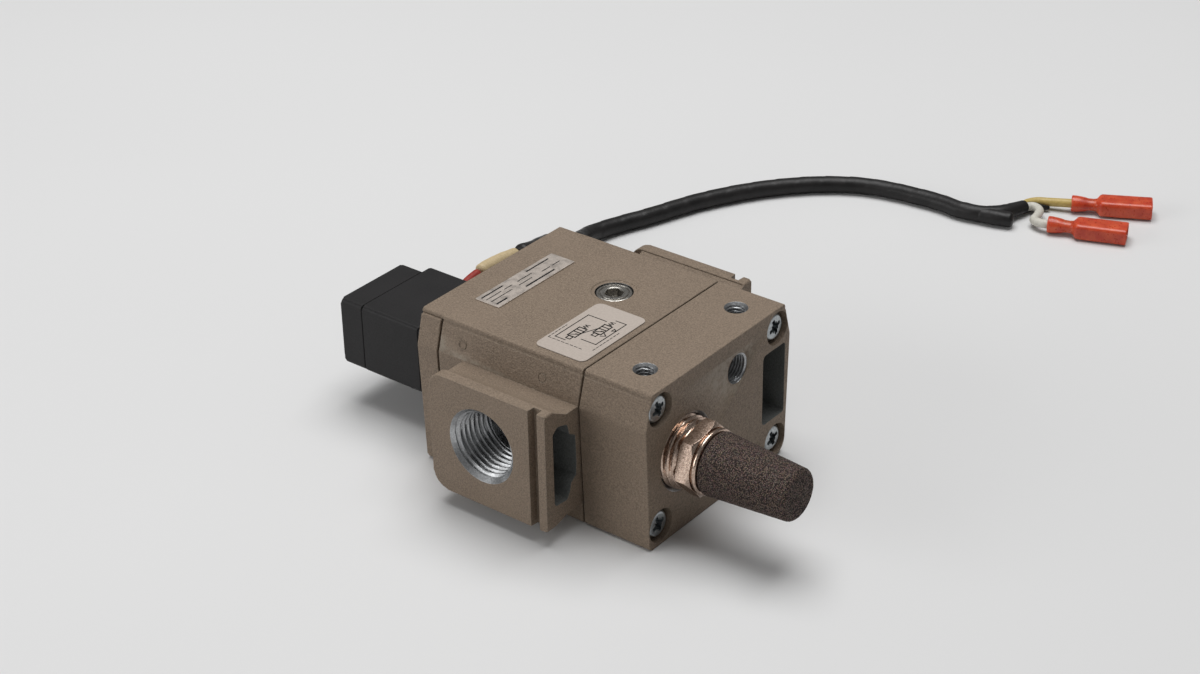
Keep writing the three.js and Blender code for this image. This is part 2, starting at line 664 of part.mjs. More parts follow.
let pilot = coilBox(PILOT_BACK + 0.15, PILOT_FRONT, COIL_LOW_Y, COIL_HIGH_Y, 1);
[
  round('x', -11, -4, COIL_Y, AXIS_Z, 4.6, 4.6, 28),
  round('x', -5, 1, COIL_Y, AXIS_Z, 1, 1, 12),
  round('y', COIL_Y, COIL_HIGH_Y + 1, BUTTON_X, AXIS_Z, BUTTON_R + 0.2, BUTTON_R + 0.2, 24),
  ...screwTunnels(-11, 1),
].forEach((cut) => {
  pilot = pilot.subtract(cut);
});
add('pilot_valve_body', pilot, BLACK_PLASTIC);

const WINDING_R = 8.6;
const GROMMET_X = -22;
const GROMMET_Z = 30.5;
let housing = coilBox(COIL_BACK, PILOT_BACK - 0.15, COIL_LOW_Y, COIL_HIGH_Y, 1);
[
  round('x', COIL_BACK - 1, PILOT_BACK + 1, COIL_Y, AXIS_Z, WINDING_R + 0.3, WINDING_R + 0.3, 36),
  round('y', COIL_HIGH_Y - 5, COIL_HIGH_Y + 1, GROMMET_X, GROMMET_Z, 2.9, 2.9, 24),
  ...screwTunnels(COIL_BACK - 1, PILOT_BACK + 1),
].forEach((cut) => {
  housing = housing.subtract(cut);
});
add('coil_housing', housing, BLACK_PLASTIC);

const CAP_STEP = 1;
const STEP_INSET = 0.9;
let cap = coilBox(CAP_BACK + CAP_STEP, CAP_FRONT, COIL_LOW_Y, CAP_HIGH_Y, 1)
  .add(alongX(outline([
    [COIL_LOW_Y + STEP_INSET, COIL_LOW_Z + STEP_INSET, 1],
    [CAP_HIGH_Y - STEP_INSET, COIL_LOW_Z + STEP_INSET, 1],
    [CAP_HIGH_Y - STEP_INSET, COIL_HIGH_Z - STEP_INSET, 1],
    [COIL_LOW_Y + STEP_INSET, COIL_HIGH_Z - STEP_INSET, 1],
  ], 3), CAP_BACK, CAP_BACK + CAP_STEP + 0.2));
SOLENOID_SCREWS.forEach(([y, z]) => {
  cap = cap.subtract(round('x', CAP_BACK - 1, CAP_FRONT + 1, y, z, 1.7, 1.7, 16));
  cap = cap.subtract(round('x', CAP_BACK - 1, CAP_BACK + SOLENOID_RECESS, y, z, 2.5, 2.5, 28));
});
add('solenoid_cap', cap, BLACK_PLASTIC);

SOLENOID_SCREWS.forEach(([y, z], i) => {
  panHead(`solenoid_screw_${i + 1}`, CAP_BACK + SOLENOID_RECESS - 0.2, -1, y, z, 2.2, 1.5, 1.45, 38, ZINC);
});

const winding = round('x', COIL_BACK + 0.8, PILOT_BACK - 0.9, COIL_Y, AXIS_Z, WINDING_R, WINDING_R, 36)
  .subtract(round('x', COIL_BACK - 1, PILOT_BACK + 1, COIL_Y, AXIS_Z, 5, 5, 32));
add('coil_winding', winding, COPPER);
const TUBE_R = 4.75;
const coreTube = round('x', COIL_BACK + 0.4, PILOT_BACK - 0.5, COIL_Y, AXIS_Z, TUBE_R, TUBE_R, 32)
  .subtract(round('x', COIL_BACK - 1, PILOT_BACK + 1, COIL_Y, AXIS_Z, PLUNGER_R + 0.3, PLUNGER_R + 0.3, 32));
add('core_tube', coreTube, BRASS);
add('fixed_core', round('x', COIL_BACK + 0.5, -24, COIL_Y, AXIS_Z, PLUNGER_R, PLUNGER_R, 28), STEEL);
const plunger = turned([
  [2.3, -17.5],
  [2.3, -22.4],
  [PLUNGER_R, -22.4],
  [PLUNGER_R, -9],
  [2, -6.4],
  [2, -4.3],
  [0, -4.3],
  [0, -17.5],
  [2.3, -17.5],
], 'x', COIL_Y, AXIS_Z, 28);
add('plunger', plunger, STEEL);
add('plunger_spring', spring(-23.5, -18, COIL_Y, AXIS_Z, 1.7, 0.25, 5), STEEL);

const button = round('y', -1.4, COIL_HIGH_Y + 1.3, BUTTON_X, AXIS_Z, BUTTON_R, BUTTON_R, 24)
  .subtract(block(BUTTON_X - 1.6, BUTTON_X + 1.6, COIL_HIGH_Y + 0.9, COIL_HIGH_Y + 2, AXIS_Z - 0.3, AXIS_Z + 0.3));
add('override_button', button, { color: 0xc9742b, roughness: 0.45, metalness: 0 });

// ---------------------------------------------------------------- lead
const grommet = round('y', COIL_HIGH_Y - 4.4, COIL_HIGH_Y + 1.2, GROMMET_X, GROMMET_Z, 2.6, 2.3, 24)
  .subtract(round('y', COIL_HIGH_Y - 6, COIL_HIGH_Y + 3, GROMMET_X, GROMMET_Z, 1.7, 1.7, 20));
add('lead_grommet', grommet, RUBBER);

add('lead_red', tube([
  [GROMMET_X, 4.4, GROMMET_Z],
  [GROMMET_X, 9.5, GROMMET_Z],
  [-22.6, 14, 30.9],
  [-23.1, 18.6, 31.1],
], 1.4, 8, 8), RED);
add('lead_sleeve', tube([
  [-23.15, 18.9, 31.1],
  [-23.4, 24, 31],
  [-23.3, 30, 30.6],
  [-22.9, 36.4, 29.9],
], 2.2, 6, 10), BEIGE);

const LEAD_REST_Z = LEAD_R + 0.15;
const leadRoute = [
  [-22.85, 36.8, 29.8],
  [-22.9, 42.5, 28.4],
  [-27, 56.3, 24],
  [-35.6, 74.9, 13],
  [-42.4, 90, 6.2],
  [-44.9, 100.3, 3.7],
  [-42.6, 111, LEAD_REST_Z],
  [-38.2, 121.7, LEAD_REST_Z],
  [-29.9, 143.7, LEAD_REST_Z],
  [-17.5, 164.2, LEAD_REST_Z],
  [-2.8, 178.9, LEAD_REST_Z],
  [11, 186.4, LEAD_REST_Z],
  [34.8, 189.9, LEAD_REST_Z],
  [44.5, 189.2, LEAD_REST_Z],
  [51.5, 190.6, LEAD_REST_Z],
  [56.3, 194.3, LEAD_REST_Z],
  [58.8, 199.6, LEAD_REST_Z],
  [60.6, 205.2, LEAD_REST_Z],
];
// the tape is folded over itself at the bend and stands out as a short blunt stub
const foldRoute = [
  [50.5, 190.1, LEAD_REST_Z],
  [56.5, 191.1, LEAD_REST_Z],
  [62.6, 193.1, LEAD_REST_Z],
];
const FOLD_R = 2.6;
const jacket = solid(tube(leadRoute, LEAD_R, 40, 12)).add(solid(tube(foldRoute, FOLD_R, 6, 12)));
add('lead_jacket', jacket, { color: 0x1d1c1e, roughness: 0.55, metalness: 0 });

// each core wire leaves the jacket and enters the barrel of an insulated push-on terminal
const WIRE_Z = 2.7;
const TERMINALS = [
  { start: [72.2, 215.5], end: [96, 227.9], route: [[59.6, 206.8], [61.5, 210.4], [65.6, 212.8]] },
  { start: [73.3, 197], end: [97.9, 206.2], route: [[62.6, 206.5], [65.6, 205.2], [67, 201.6], [67.8, 197.6]] },
];
TERMINALS.forEach(({ start, end, route }, i) => {
  const along = new THREE.Vector2(end[0] - start[0], end[1] - start[1]);
  const length = along.length();
  along.normalize();
  const ahead = (d) => [start[0] + along.x * d, start[1] + along.y * d, WIRE_Z + 0.4];
  const points = route.map(([x, y]) => [x, y, WIRE_Z]).concat([ahead(-1.8), ahead(-0.3), ahead(1.6), ahead(4)]);
  add(`core_wire_${i + 1}`, tube(points, WIRE_R, 18, 8), BEIGE);
  const place = (piece) => piece
    .rotate([0, 0, THREE.MathUtils.radToDeg(along.angle())])
    .translate([start[0], start[1], WIRE_Z + 0.4]);
  const BARREL = 9;
  const HALF_WIDE = 4.2;
  const HALF_HIGH = 2.9;
  const barrel = round('x', 0, BARREL, 0, 0, 2.5, 2.5, 24);
  const shell = alongX(outline([
    [-HALF_WIDE, -HALF_HIGH, 1.2],
    [HALF_WIDE, -HALF_HIGH, 1.2],
    [HALF_WIDE, HALF_HIGH, 1.2],
    [-HALF_WIDE, HALF_HIGH, 1.2],
  ], 3), BARREL - 0.5, length);
  const wireHole = round('x', -1, BARREL + 1, 0, 0, WIRE_R + 0.25, WIRE_R + 0.25, 16);
  const mouth = block(BARREL + 0.5, length + 1, -3.5, 3.5, -1.4, 1.4);
  add(`terminal_sleeve_${i + 1}`, place(barrel.add(shell).subtract(wireHole).subtract(mouth)), TERMINAL_RED);
  const receptacle = block(BARREL + 2, length - 1.2, -3.2, 3.2, -1.1, 1.1)
    .subtract(block(BARREL + 1, length, -2.8, 2.8, -0.45, 0.45));
  add(`terminal_receptacle_${i + 1}`, place(receptacle), BRASS);
});

export default group;
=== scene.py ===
"""Looks of the soft start valve: castings, sintered muffler, pilot solenoid and its lead.

Pieces are drawn in millimetres. X is measured forwards from a datum plane just inside the back of the
rear cover, Y from the middle plane and Z from the floor. settle() moves a finished drawing into the row
frame, in metres.
"""
import json
from itertools import pairwise
from math import atan, atan2, copysign, cos, pi, radians, sin, sqrt, tan

import bmesh
import bpy
from mathutils import Matrix, Vector, noise


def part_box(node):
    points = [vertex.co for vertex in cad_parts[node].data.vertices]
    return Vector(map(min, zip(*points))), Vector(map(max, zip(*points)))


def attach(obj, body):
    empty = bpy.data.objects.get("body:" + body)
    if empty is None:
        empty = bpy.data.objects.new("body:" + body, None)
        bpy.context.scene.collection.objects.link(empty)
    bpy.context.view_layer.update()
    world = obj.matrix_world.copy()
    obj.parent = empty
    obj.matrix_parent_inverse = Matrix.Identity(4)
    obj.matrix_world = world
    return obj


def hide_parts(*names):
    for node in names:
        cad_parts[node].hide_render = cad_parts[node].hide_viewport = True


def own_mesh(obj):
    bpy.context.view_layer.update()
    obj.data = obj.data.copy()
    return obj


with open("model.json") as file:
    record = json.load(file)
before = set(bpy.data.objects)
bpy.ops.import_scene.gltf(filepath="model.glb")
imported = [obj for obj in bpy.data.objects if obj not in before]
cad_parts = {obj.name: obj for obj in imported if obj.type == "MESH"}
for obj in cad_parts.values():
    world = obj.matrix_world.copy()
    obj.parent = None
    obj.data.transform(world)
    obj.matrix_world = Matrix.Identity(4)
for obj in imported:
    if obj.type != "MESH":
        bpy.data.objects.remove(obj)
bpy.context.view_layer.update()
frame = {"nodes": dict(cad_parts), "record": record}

MM = 0.001
BACK = -0.6
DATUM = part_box("rear_cover")[0].x / MM - BACK
TO_ROW = Matrix.Scale(MM, 4) @ Matrix.Translation((DATUM, 0, 0))
BODY_OF = {
    node: body
    for body, members in frame["record"]["behaviour"]["bodies"].items()
    for node in members
}


def cad_box(node):
    """Lowest and highest corner of a CAD node, in the drawing's millimetres."""
    to_drawing = TO_ROW.inverted()
    low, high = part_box(node)
    return to_drawing @ low, to_drawing @ high


def cad_middle(node):
    low, high = cad_box(node)
    return (low + high) / 2


# ------------------------------------------------------------------ driving dimensions
HEIGHT = cad_box("front_cover")[1].z
LENGTH = cad_box("front_cover")[1].x
HALF_TOP = 30.6
HALF_KNEE = 33.4
KNEE_Z = 38.1
HALF_BASE = 32
AXIS_Z = 24.2

REAR_COVER_END = 6.5
BODY_START = 7.2
BODY_END = 56.2
COVER_START = 56.8
LIP_THICKNESS = 1.2
REAR_RECESS = 3.6

PORT_X = 33.7
PORT_FACE_Y = 47.2
PORT_MOUTH_R = 11.25
PORT_THREAD_ROOT = 10.45
PORT_THREAD_CREST = 9.45
PORT_THREAD_DEPTH = 14
PORT_PITCH = 1.814
PORT_BORE_R = 8.75
RIM_START = 15.7
RIM_BOTTOM = 5.3
RIM_TOP = cad_box("main_body")[1].z - 6.9
RIM_THICKNESS = 3.7
NECK_TOP = 38.3
NECK_BOTTOM = 7
GROOVE_START = 50.4
GROOVE_END = 53.6
GROOVE_DEPTH = 2.5

MUFFLER_Y = cad_middle("muffler_adapter").y
MUFFLER_Z = cad_middle("muffler_adapter").z
GAUGE_Y = 7.6
GAUGE_Z = 38.5
TOP_HOLE_X = 69.3
TOP_HOLE_Y = 20.8
SCREW_PLACES = [cad_middle(f"cover_screw_{k}").yz for k in (1, 2, 3, 4)]
NEEDLE_X = cad_middle("needle_screw").x
NEEDLE_Y = cad_middle("needle_screw").y


def linked(name, data):
    """A new object in the scene that carries the data."""
    made = bpy.data.objects.new(name, data)
    bpy.context.scene.collection.objects.link(made)
    return made


# ------------------------------------------------------------------ camera
CAMERA_PLACE = (0.35943, -0.45096, 0.36698)
CAMERA_LENS = 71.306
# azimuth, elevation and roll in degrees
CAMERA_ANGLES = (38.497, 29.725, -0.993)


def add_camera():
    data = bpy.data.cameras.new("camera")
    data.sensor_width = 36
    data.lens = CAMERA_LENS
    camera = linked("camera", data)
    azimuth, elevation, roll = (radians(x) for x in CAMERA_ANGLES)
    flat = cos(elevation)
    back = Vector((sin(azimuth) * flat, -cos(azimuth) * flat, sin(elevation)))
    right = Vector((0, 0, 1)).cross(back).normalized()
    up = back.cross(right)
    tilted_right = right * cos(roll) + up * sin(roll)
    tilted_up = up * cos(roll) - right * sin(roll)
    turn = Matrix((tilted_right, tilted_up, back)).transposed().to_4x4()
    camera.matrix_world = Matrix.Translation(CAMERA_PLACE) @ turn
    bpy.context.scene.camera = camera


add_camera()


# ------------------------------------------------------------------ materials
class Look:
    """One procedural material, built up node by node."""

    def __init__(self, name):
        self.material = bpy.data.materials.new(name)
        self.material.use_nodes = True
        self.tree = self.material.node_tree
        self.shader = self.tree.nodes["Principled BSDF"]
        self.place = self.add("ShaderNodeTexCoord").outputs["Object"]

    def add(self, kind, inputs=None, **settings):
        node = self.tree.nodes.new(kind)
        for key, value in settings.items():
            setattr(node, key, value)
        for key, value in (inputs or {}).items():
            self.put(node.inputs[key], value)
        return node

    def put(self, socket, value):
        if isinstance(value, bpy.types.NodeSocket):
            self.tree.links.new(value, socket)
        else:
            socket.default_value = value

    def set(self, **values):
        for key, value in values.items():
            self.put(self.shader.inputs[key.replace("_", " ")], value)

    def noise(self, grain_mm, detail=2, roughness=0.5):
        """Noise whose blobs are about grain_mm across."""
        scale = 1 / (grain_mm * MM)
        inputs = {"Vector": self.place, "Scale": scale, "Detail": detail, "Roughness": roughness}
        return self.add("ShaderNodeTexNoise", inputs).outputs["Fac"]

    def grains(self, grain_mm):
        return self.add("ShaderNodeTexVoronoi", {"Vector": self.place, "Scale": 1 / (grain_mm * MM)})

    def between(self, value, low, high, to_low=0.0, to_high=1.0):
        inputs = {0: value, 1: low, 2: high, 3: to_low, 4: to_high}
        return self.add("ShaderNodeMapRange", inputs).outputs[0]

    def sum(self, first, second, share=1.0):
        inputs = {0: second, 1: share, 2: first}
        return self.add("ShaderNodeMath", inputs, operation="MULTIPLY_ADD").outputs[0]

    def product(self, first, second):
        return self.add("ShaderNodeMath", {0: first, 1: second}, operation="MULTIPLY").outputs[0]

    def mix(self, share, first, second, blend="MIX"):
        node = self.add("ShaderNodeMix", data_type="RGBA", blend_type=blend)
        self.put(node.inputs[0], share)
        self.put(node.inputs[6], first)
        self.put(node.inputs[7], second)
        return node.outputs[2]

    def bump(self, height, depth_mm, normal=None):
        node = self.add("ShaderNodeBump", {"Height": height, "Distance": depth_mm * MM, "Strength": 1})
        if normal:
            self.put(node.inputs["Normal"], normal)
        return node.outputs[0]

    def soft_edges(self, radius_mm):
        """(normal with rounded edges, how strongly a point lies on an edge)."""
        bevel = self.add("ShaderNodeBevel", {"Radius": radius_mm * MM}, samples=4).outputs[0]
        true = self.add("ShaderNodeNewGeometry").outputs["True Normal"]
        agree = self.add("ShaderNodeVectorMath", {0: bevel, 1: true}, operation="DOT_PRODUCT")
        return bevel, self.between(agree.outputs["Value"], 0.985, 0.8)


def rgb(red, green, blue):
    return (red, green, blue, 1)


def cast_paint(name, dark, light, rubbed, depth_mm):
    """Sprayed paint on a sand-textured casting, rubbed lighter along its edges."""
    look = Look(name)
    fine = look.noise(0.45, 3, 0.65)
    coarse = look.noise(1.3, 2)
    cloud = look.noise(14, 3)
    edge_normal, edge = look.soft_edges(0.35)
    body = look.mix(look.between(fine, 0.36, 0.64), rgb(*dark), rgb(*light))
    body = look.mix(look.between(cloud, 0.3, 0.7, 0, 0.3), body, rgb(*light))
    rub = look.product(edge, look.between(look.noise(1.6, 3), 0.35, 0.6, 0.1, 0.75))
    body = look.mix(rub, body, rgb(*rubbed))
    height = look.sum(fine, coarse, 0.6)
    look.set(
        Base_Color=body,
        Metallic=0.15,
        Roughness=look.between(fine, 0.3, 0.7, 0.66, 0.5),
        Normal=look.bump(height, depth_mm, edge_normal),
        Specular_IOR_Level=0.35,
    )
    return look.material


def metal(name, dark, light, roughness, grain_mm=0.6, depth_mm=0.012):
    """A bare or plated metal with a slight grain and uneven polish."""
    look = Look(name)
    grain = look.noise(grain_mm, 3, 0.6)
    stain = look.noise(grain_mm * 9, 3)
    edge_normal, edge = look.soft_edges(0.12)
    colour = look.mix(look.between(grain, 0.3, 0.7), rgb(*dark), rgb(*light))
    colour = look.mix(look.between(stain, 0.45, 0.75, 0, 0.35), colour, rgb(*[c * 0.6 for c in dark]))
    look.set(
        Base_Color=look.mix(look.product(edge, 0.5), colour, rgb(*light)),
        Metallic=1.0,
        Roughness=look.between(stain, 0.3, 0.7, roughness * 0.8, roughness * 1.25),
        Normal=look.bump(grain, depth_mm, edge_normal),
    )
    return look.material


def sintered():
    """Small bronze balls fused together, with painted shade in the pores between them and a painted highlight
    on a few of their tops.
    """
    look = Look("sintered_bronze")
    balls = look.grains(0.34)
    # painted shade: this mask marks the pores between the balls, which are coloured near black and made
    # rougher
    pore_shade = look.between(balls.outputs["Distance"], 0.15, 0.62)
    own = balls.outputs["Color"]
    ball = look.mix(0.5, rgb(0.24, 0.167, 0.136), own, "MULTIPLY")
    ball = look.mix(0.62, rgb(0.2, 0.148, 0.126), ball)
    # painted highlight: random spots lightened towards a bright bronze, standing in for light on a few ball
    # tops
    light = look.between(look.noise(0.34, 1), 0.6, 0.7, 0, 0.8)
    ball = look.mix(light, ball, rgb(0.42, 0.3, 0.22))
    look.set(
        # the near-black pore colour is painted shade between the balls
        Base_Color=look.mix(pore_shade, ball, rgb(0.03, 0.022, 0.02)),
        Metallic=0.65,
        Roughness=look.between(pore_shade, 0, 1, 0.42, 0.85),
        Normal=look.bump(look.between(balls.outputs["Distance"], 0.0, 0.7, 1, 0), 0.14),
    )
    return look.material


def plastic(name, dark, light, roughness, grain_mm=0.5, depth_mm=0.02, shine=0.4):
    """A moulded plastic or rubber with a fine eroded skin."""
    look = Look(name)
    grain = look.noise(grain_mm, 3, 0.6)
    cloud = look.noise(grain_mm * 22, 2)
    edge_normal, edge = look.soft_edges(0.3)
    colour = look.mix(look.between(grain, 0.35, 0.65), rgb(*dark), rgb(*light))
    colour = look.mix(look.between(cloud, 0.35, 0.7, 0, 0.4), colour, rgb(*light))
    look.set(
        Base_Color=look.mix(look.product(edge, 0.25), colour, rgb(*[c * 1.5 for c in light])),
        Roughness=look.between(cloud, 0.3, 0.7, roughness * 0.9, roughness * 1.1),
        Normal=look.bump(grain, depth_mm, edge_normal),
        Specular_IOR_Level=shine,
    )
    return look.material


def nylon():
    """Translucent orange-red insulation that glows where it is thin."""
    look = Look("terminal_nylon")
    cloud = look.noise(3.5, 3)
    grain = look.noise(0.8, 2)
    colour = look.mix(look.between(cloud, 0.35, 0.65), rgb(0.5, 0.042, 0.012), rgb(0.66, 0.095, 0.03))
    look.set(
        Base_Color=colour,
        Roughness=look.between(grain, 0.3, 0.7, 0.26, 0.36),
        Normal=look.bump(cloud, 0.05),
        Subsurface_Weight=0.55,
        Subsurface_Radius=(1.0, 0.35, 0.2),
        Subsurface_Scale=0.0025,
        Transmission_Weight=0.12,
        IOR=1.52,
    )
    return look.material


def tape():
    """Satin black PVC tape, wrinkled lengthways where it was stretched."""
    look = Look("lead_tape")
    wrinkle = look.noise(1.1, 3, 0.6)
    cloud = look.noise(7, 2)
    colour = look.mix(look.between(cloud, 0.35, 0.7), rgb(0.008, 0.0075, 0.0075), rgb(0.016, 0.0145, 0.0145))
    look.set(
        Base_Color=colour,
        Roughness=look.between(wrinkle, 0.3, 0.7, 0.36, 0.5),
        Normal=look.bump(wrinkle, 0.06),
        Specular_IOR_Level=0.3,
    )
    return look.material


# dark, light and rubbed colour, depth of the grain in mm
PAINTS = {
    "cast_paint": ((0.148, 0.111, 0.08), (0.26, 0.198, 0.145), (0.31, 0.265, 0.21), 0.26),
    # the insides of the pocket and window: grey of bare casting, darkened as painted shade of those recesses
    "raw_casting": ((0.1, 0.105, 0.1), (0.15, 0.156, 0.15), (0.16, 0.162, 0.16), 0.25),
}
# dark and light colour, roughness, grain and its depth in mm
METALS = {
    "machined": ((0.28, 0.285, 0.29), (0.52, 0.53, 0.54), 0.34, 0.5, 0.012),
    "zinc_screw": ((0.3, 0.32, 0.33), (0.52, 0.55, 0.56), 0.3, 0.7, 0.012),
    "needle_steel": ((0.3, 0.285, 0.26), (0.56, 0.54, 0.5), 0.3, 0.5, 0.01),
    "steel": ((0.5, 0.51, 0.52), (0.72, 0.73, 0.74), 0.25),
    "brass": ((0.36, 0.25, 0.11), (0.6, 0.44, 0.22), 0.3),
    "terminal_brass": ((0.4, 0.3, 0.16), (0.62, 0.5, 0.31), 0.3),
    "piston_aluminium": ((0.6, 0.61, 0.62), (0.82, 0.83, 0.84), 0.32),
    "winding_copper": ((0.5, 0.17, 0.08), (0.8, 0.34, 0.2), 0.3, 0.4),
    "adapter_brass": ((0.33, 0.23, 0.175), (0.8, 0.63, 0.52), 0.2, 0.5, 0.01),
    "nameplate_foil": ((0.54, 0.48, 0.43), (0.7, 0.63, 0.57), 0.45, 0.3, 0.006),
}
# dark and light colour, roughness, grain and its depth in mm, shine
PLASTICS = {
    "symbol_label": ((0.395, 0.342, 0.3), (0.45, 0.392, 0.345), 0.45, 0.8, 0.006),
    "ink": ((0.006, 0.006, 0.007), (0.014, 0.013, 0.013), 0.6, 0.3, 0.004, 0.2),
    "gasket_rubber": ((0.01, 0.01, 0.01), (0.02, 0.019, 0.018), 0.8),
    "seal_rubber": ((0.008, 0.008, 0.009), (0.016, 0.016, 0.017), 0.6),
    "solenoid_plastic": ((0.01, 0.0098, 0.0103), (0.018, 0.0168, 0.0172), 0.52, 0.45, 0.03, 0.22),
    "button_plastic": ((0.4, 0.13, 0.035), (0.5, 0.19, 0.06), 0.42),
    "red_insulation": ((0.22, 0.02, 0.014), (0.32, 0.034, 0.022), 0.45, 0.8, 0.01),
    "beige_sleeve": ((0.42, 0.325, 0.18), (0.53, 0.42, 0.25), 0.5, 0.5, 0.03),
    "wire_insulation": ((0.42, 0.31, 0.092), (0.5, 0.375, 0.128), 0.42, 0.9, 0.01),
    "pale_insulation": ((0.5, 0.48, 0.42), (0.6, 0.58, 0.52), 0.42, 0.9, 0.01),
}
LOOKS = {"sintered_bronze": sintered(), "lead_tape": tape(), "terminal_nylon": nylon()}
for make, table in ((cast_paint, PAINTS), (metal, METALS), (plastic, PLASTICS)):
    for name, values in table.items():
        LOOKS[name] = make(name, *values)


# ------------------------------------------------------------------ drawing helpers
def on_axis(axis, across, up, along):
    """A point from its two coordinates across an axis and the one along it."""
    if axis == "x":
        return Vector((along, across, up))
    if axis == "y":
        return Vector((across, along, up))
    return Vector((across, up, along))


def around(count):
    """Angles of so many even steps around a circle."""
    return [2 * pi * k / count for k in range(count)]


def new_object(name, bm, look):
    bmesh.ops.recalc_face_normals(bm, faces=bm.faces)
    mesh = bpy.data.meshes.new(name)
    bm.to_mesh(mesh)
    bm.free()
    mesh.materials.append(LOOKS[look])
    return linked(name, mesh)


def bridge(bm, first, second):
    """Faces between two rings of vertices; a ring of one vertex is a pole."""
    if len(first) == 1 and len(second) == 1:
        return
    count = max(len(first), len(second))
    for k in range(count):
        following = (k + 1) % count
        if len(first) == 1:
            bm.faces.new((first[0], second[k], second[following]))
        elif len(second) == 1:
            bm.faces.new((first[k], first[following], second[0]))
        else:
            bm.faces.new((first[k], first[following], second[following], second[k]))


def filleted(corners, steps=6, closed=True):
    """Points of an outline from corners (x, y, fillet radius)."""
    points = []
    last = len(corners) - 1
    for k, (x, y, radius) in enumerate(corners):
        here = Vector((x, y))
        if not radius or (not closed and k in (0, last)):
            points.append(here)
            continue
        back = (Vector(corners[k - 1][:2]) - here).normalized()
        ahead = (Vector(corners[(k + 1) % len(corners)][:2]) - here).normalized()
        half = back.angle(ahead) / 2
        reach = radius / tan(half)
        start, end = here + back * reach, here + ahead * reach
        centre = here + (back + ahead).normalized() * (radius / sin(half))
        first = atan2(start.y - centre.y, start.x - centre.x)
        turn = atan2(end.y - centre.y, end.x - centre.x) - first
        turn = (turn + pi) % (2 * pi) - pi
        for step in range(steps + 1):
            angle = first + turn * step / steps
            points.append(centre + Vector((cos(angle), sin(angle))) * radius)
    return points


def rectangle(x0, y0, x1, y1, corner=0.0, steps=8):
    """Points of a rectangle with one fillet radius."""
    return filleted([(x0, y0, corner), (x1, y0, corner), (x1, y1, corner), (x0, y1, corner)], steps)


def prism(name, points, axis, start, end, look, round_start=0.0, round_end=0.0):
    """An outline drawn out along an axis, with rounded rims where a rounding is given."""
    bm = bmesh.new()
    rims = []
    for along in (start, end):
        rims.append([bm.verts.new(on_axis(axis, p[0], p[1], along)) for p in points])
        bm.faces.new(rims[-1])
    bridge(bm, *rims)
    for rim, rounding in zip(rims, (round_start, round_end)):
        if rounding:
            members = set(rim)
            edges = [e for e in bm.edges if members.issuperset(e.verts)]
            bmesh.ops.bevel(bm, geom=edges, offset=rounding, segments=3, profile=0.5, affect="EDGES")
    return new_object(name, bm, look)


def lathe(name, profile, axis, across, up, look, segments=96, closed=False):
    """A turned piece from (radius, distance along the axis) points."""
    bm = bmesh.new()
    rings = []
    for radius, along in profile:
        if radius < 1e-6:
            rings.append([bm.verts.new(on_axis(axis, across, up, along))])
            continue
        band = []
        for angle in around(segments):
            u, v = across + radius * cos(angle), up + radius * sin(angle)
            band.append(bm.verts.new(on_axis(axis, u, v, along)))
        rings.append(band)
    for first, second in pairwise(rings):
        bridge(bm, first, second)
    if closed:
        bridge(bm, rings[-1], rings[0])
    return new_object(name, bm, look)


def turned(name, corners, axis, across, up, look, steps=4, segments=96):
    """A turned piece from corners (radius, distance along the axis, fillet radius)."""
    return lathe(name, filleted(corners, steps, closed=False), axis, across, up, look, segments)


def plug(axis, across, up, start, end, radius, end_radius=None, look="cast_paint", segments=64):
    """A plain turned cutter, straight or conical."""
    far = radius if end_radius is None else end_radius
    profile = [(0, start), (radius, start), (far, end), (0, end)]
    return lathe("plug", profile, axis, across, up, look, segments)


def drilled(axis, across, up, start, end, radius, end_radius=None, segments=64):
    """A cutter that leaves a machined wall."""
    return plug(axis, across, up, start, end, radius, end_radius, "machined", segments)


def box(x0, x1, y0, y1, z0, z1, look):
    outline = [(y0, z0), (y1, z0), (y1, z1), (y0, z1)]
    return prism("box", outline, "x", x0, x1, look)


def ring(name, axis, across, up, along, radius, wire, look):
    """A ring of round section."""
    profile = [(radius + wire * cos(a), along + wire * sin(a)) for a in around(16)]
    return lathe(name, profile, axis, across, up, look, 96, closed=True)


def thread(name, axis, across, up, start, end, low, high, pitch, look, taper=0.0, segments=72):
    """A closed screw thread between two radii, which shrink by taper from start to end."""
    bm = bmesh.new()
    rows = max(8, round(abs(end - start) / pitch * 8))
    rings = [[bm.verts.new(on_axis(axis, across, up, start))]]
    for row in range(rows + 1):
        share = row / rows
        along = start + (end - start) * share
        turns = abs(along - start) / pitch
        fade = min(1.0, turns * 2, (abs(end - start) / pitch - turns) * 2)
        band = []
        for k, angle in enumerate(around(segments)):
            phase = (turns - k / segments) % 1.0
            height = min(1.0, max(0.0, 1.25 - abs(phase - 0.5) * 2.9)) * fade
            radius = low + (high - low) * height - taper * share
            u, v = across + radius * cos(angle), up + radius * sin(angle)
            band.append(bm.verts.new(on_axis(axis, u, v, along)))
        rings.append(band)
    rings.append([bm.verts.new(on_axis(axis, across, up, end))])
    for first, second in pairwise(rings):
        bridge(bm, first, second)
    return new_object(name, bm, look)


def bake_modifiers(made):
    bpy.context.view_layer.update()
    depsgraph = bpy.context.evaluated_depsgraph_get()
    mesh = bpy.data.meshes.new_from_object(made.evaluated_get(depsgraph))
    made.modifiers.clear()
    made.data = mesh
    if not mesh.polygons:
        raise ValueError(f"nothing is left of {made.name}")


def combined(made, tools, operation):
    """made joined with, or cut by, each of the tools, which are used up."""
    for tool in tools:
        modifier = made.modifiers.new("combine", "BOOLEAN")
        modifier.operation = operation
        modifier.solver = "EXACT"
        modifier.material_mode = "TRANSFER"
        modifier.object = tool
    bake_modifiers(made)
    for tool in tools:
        bpy.data.objects.remove(tool)
    return made


def joined(made, tools):
    return combined(made, tools, "UNION")


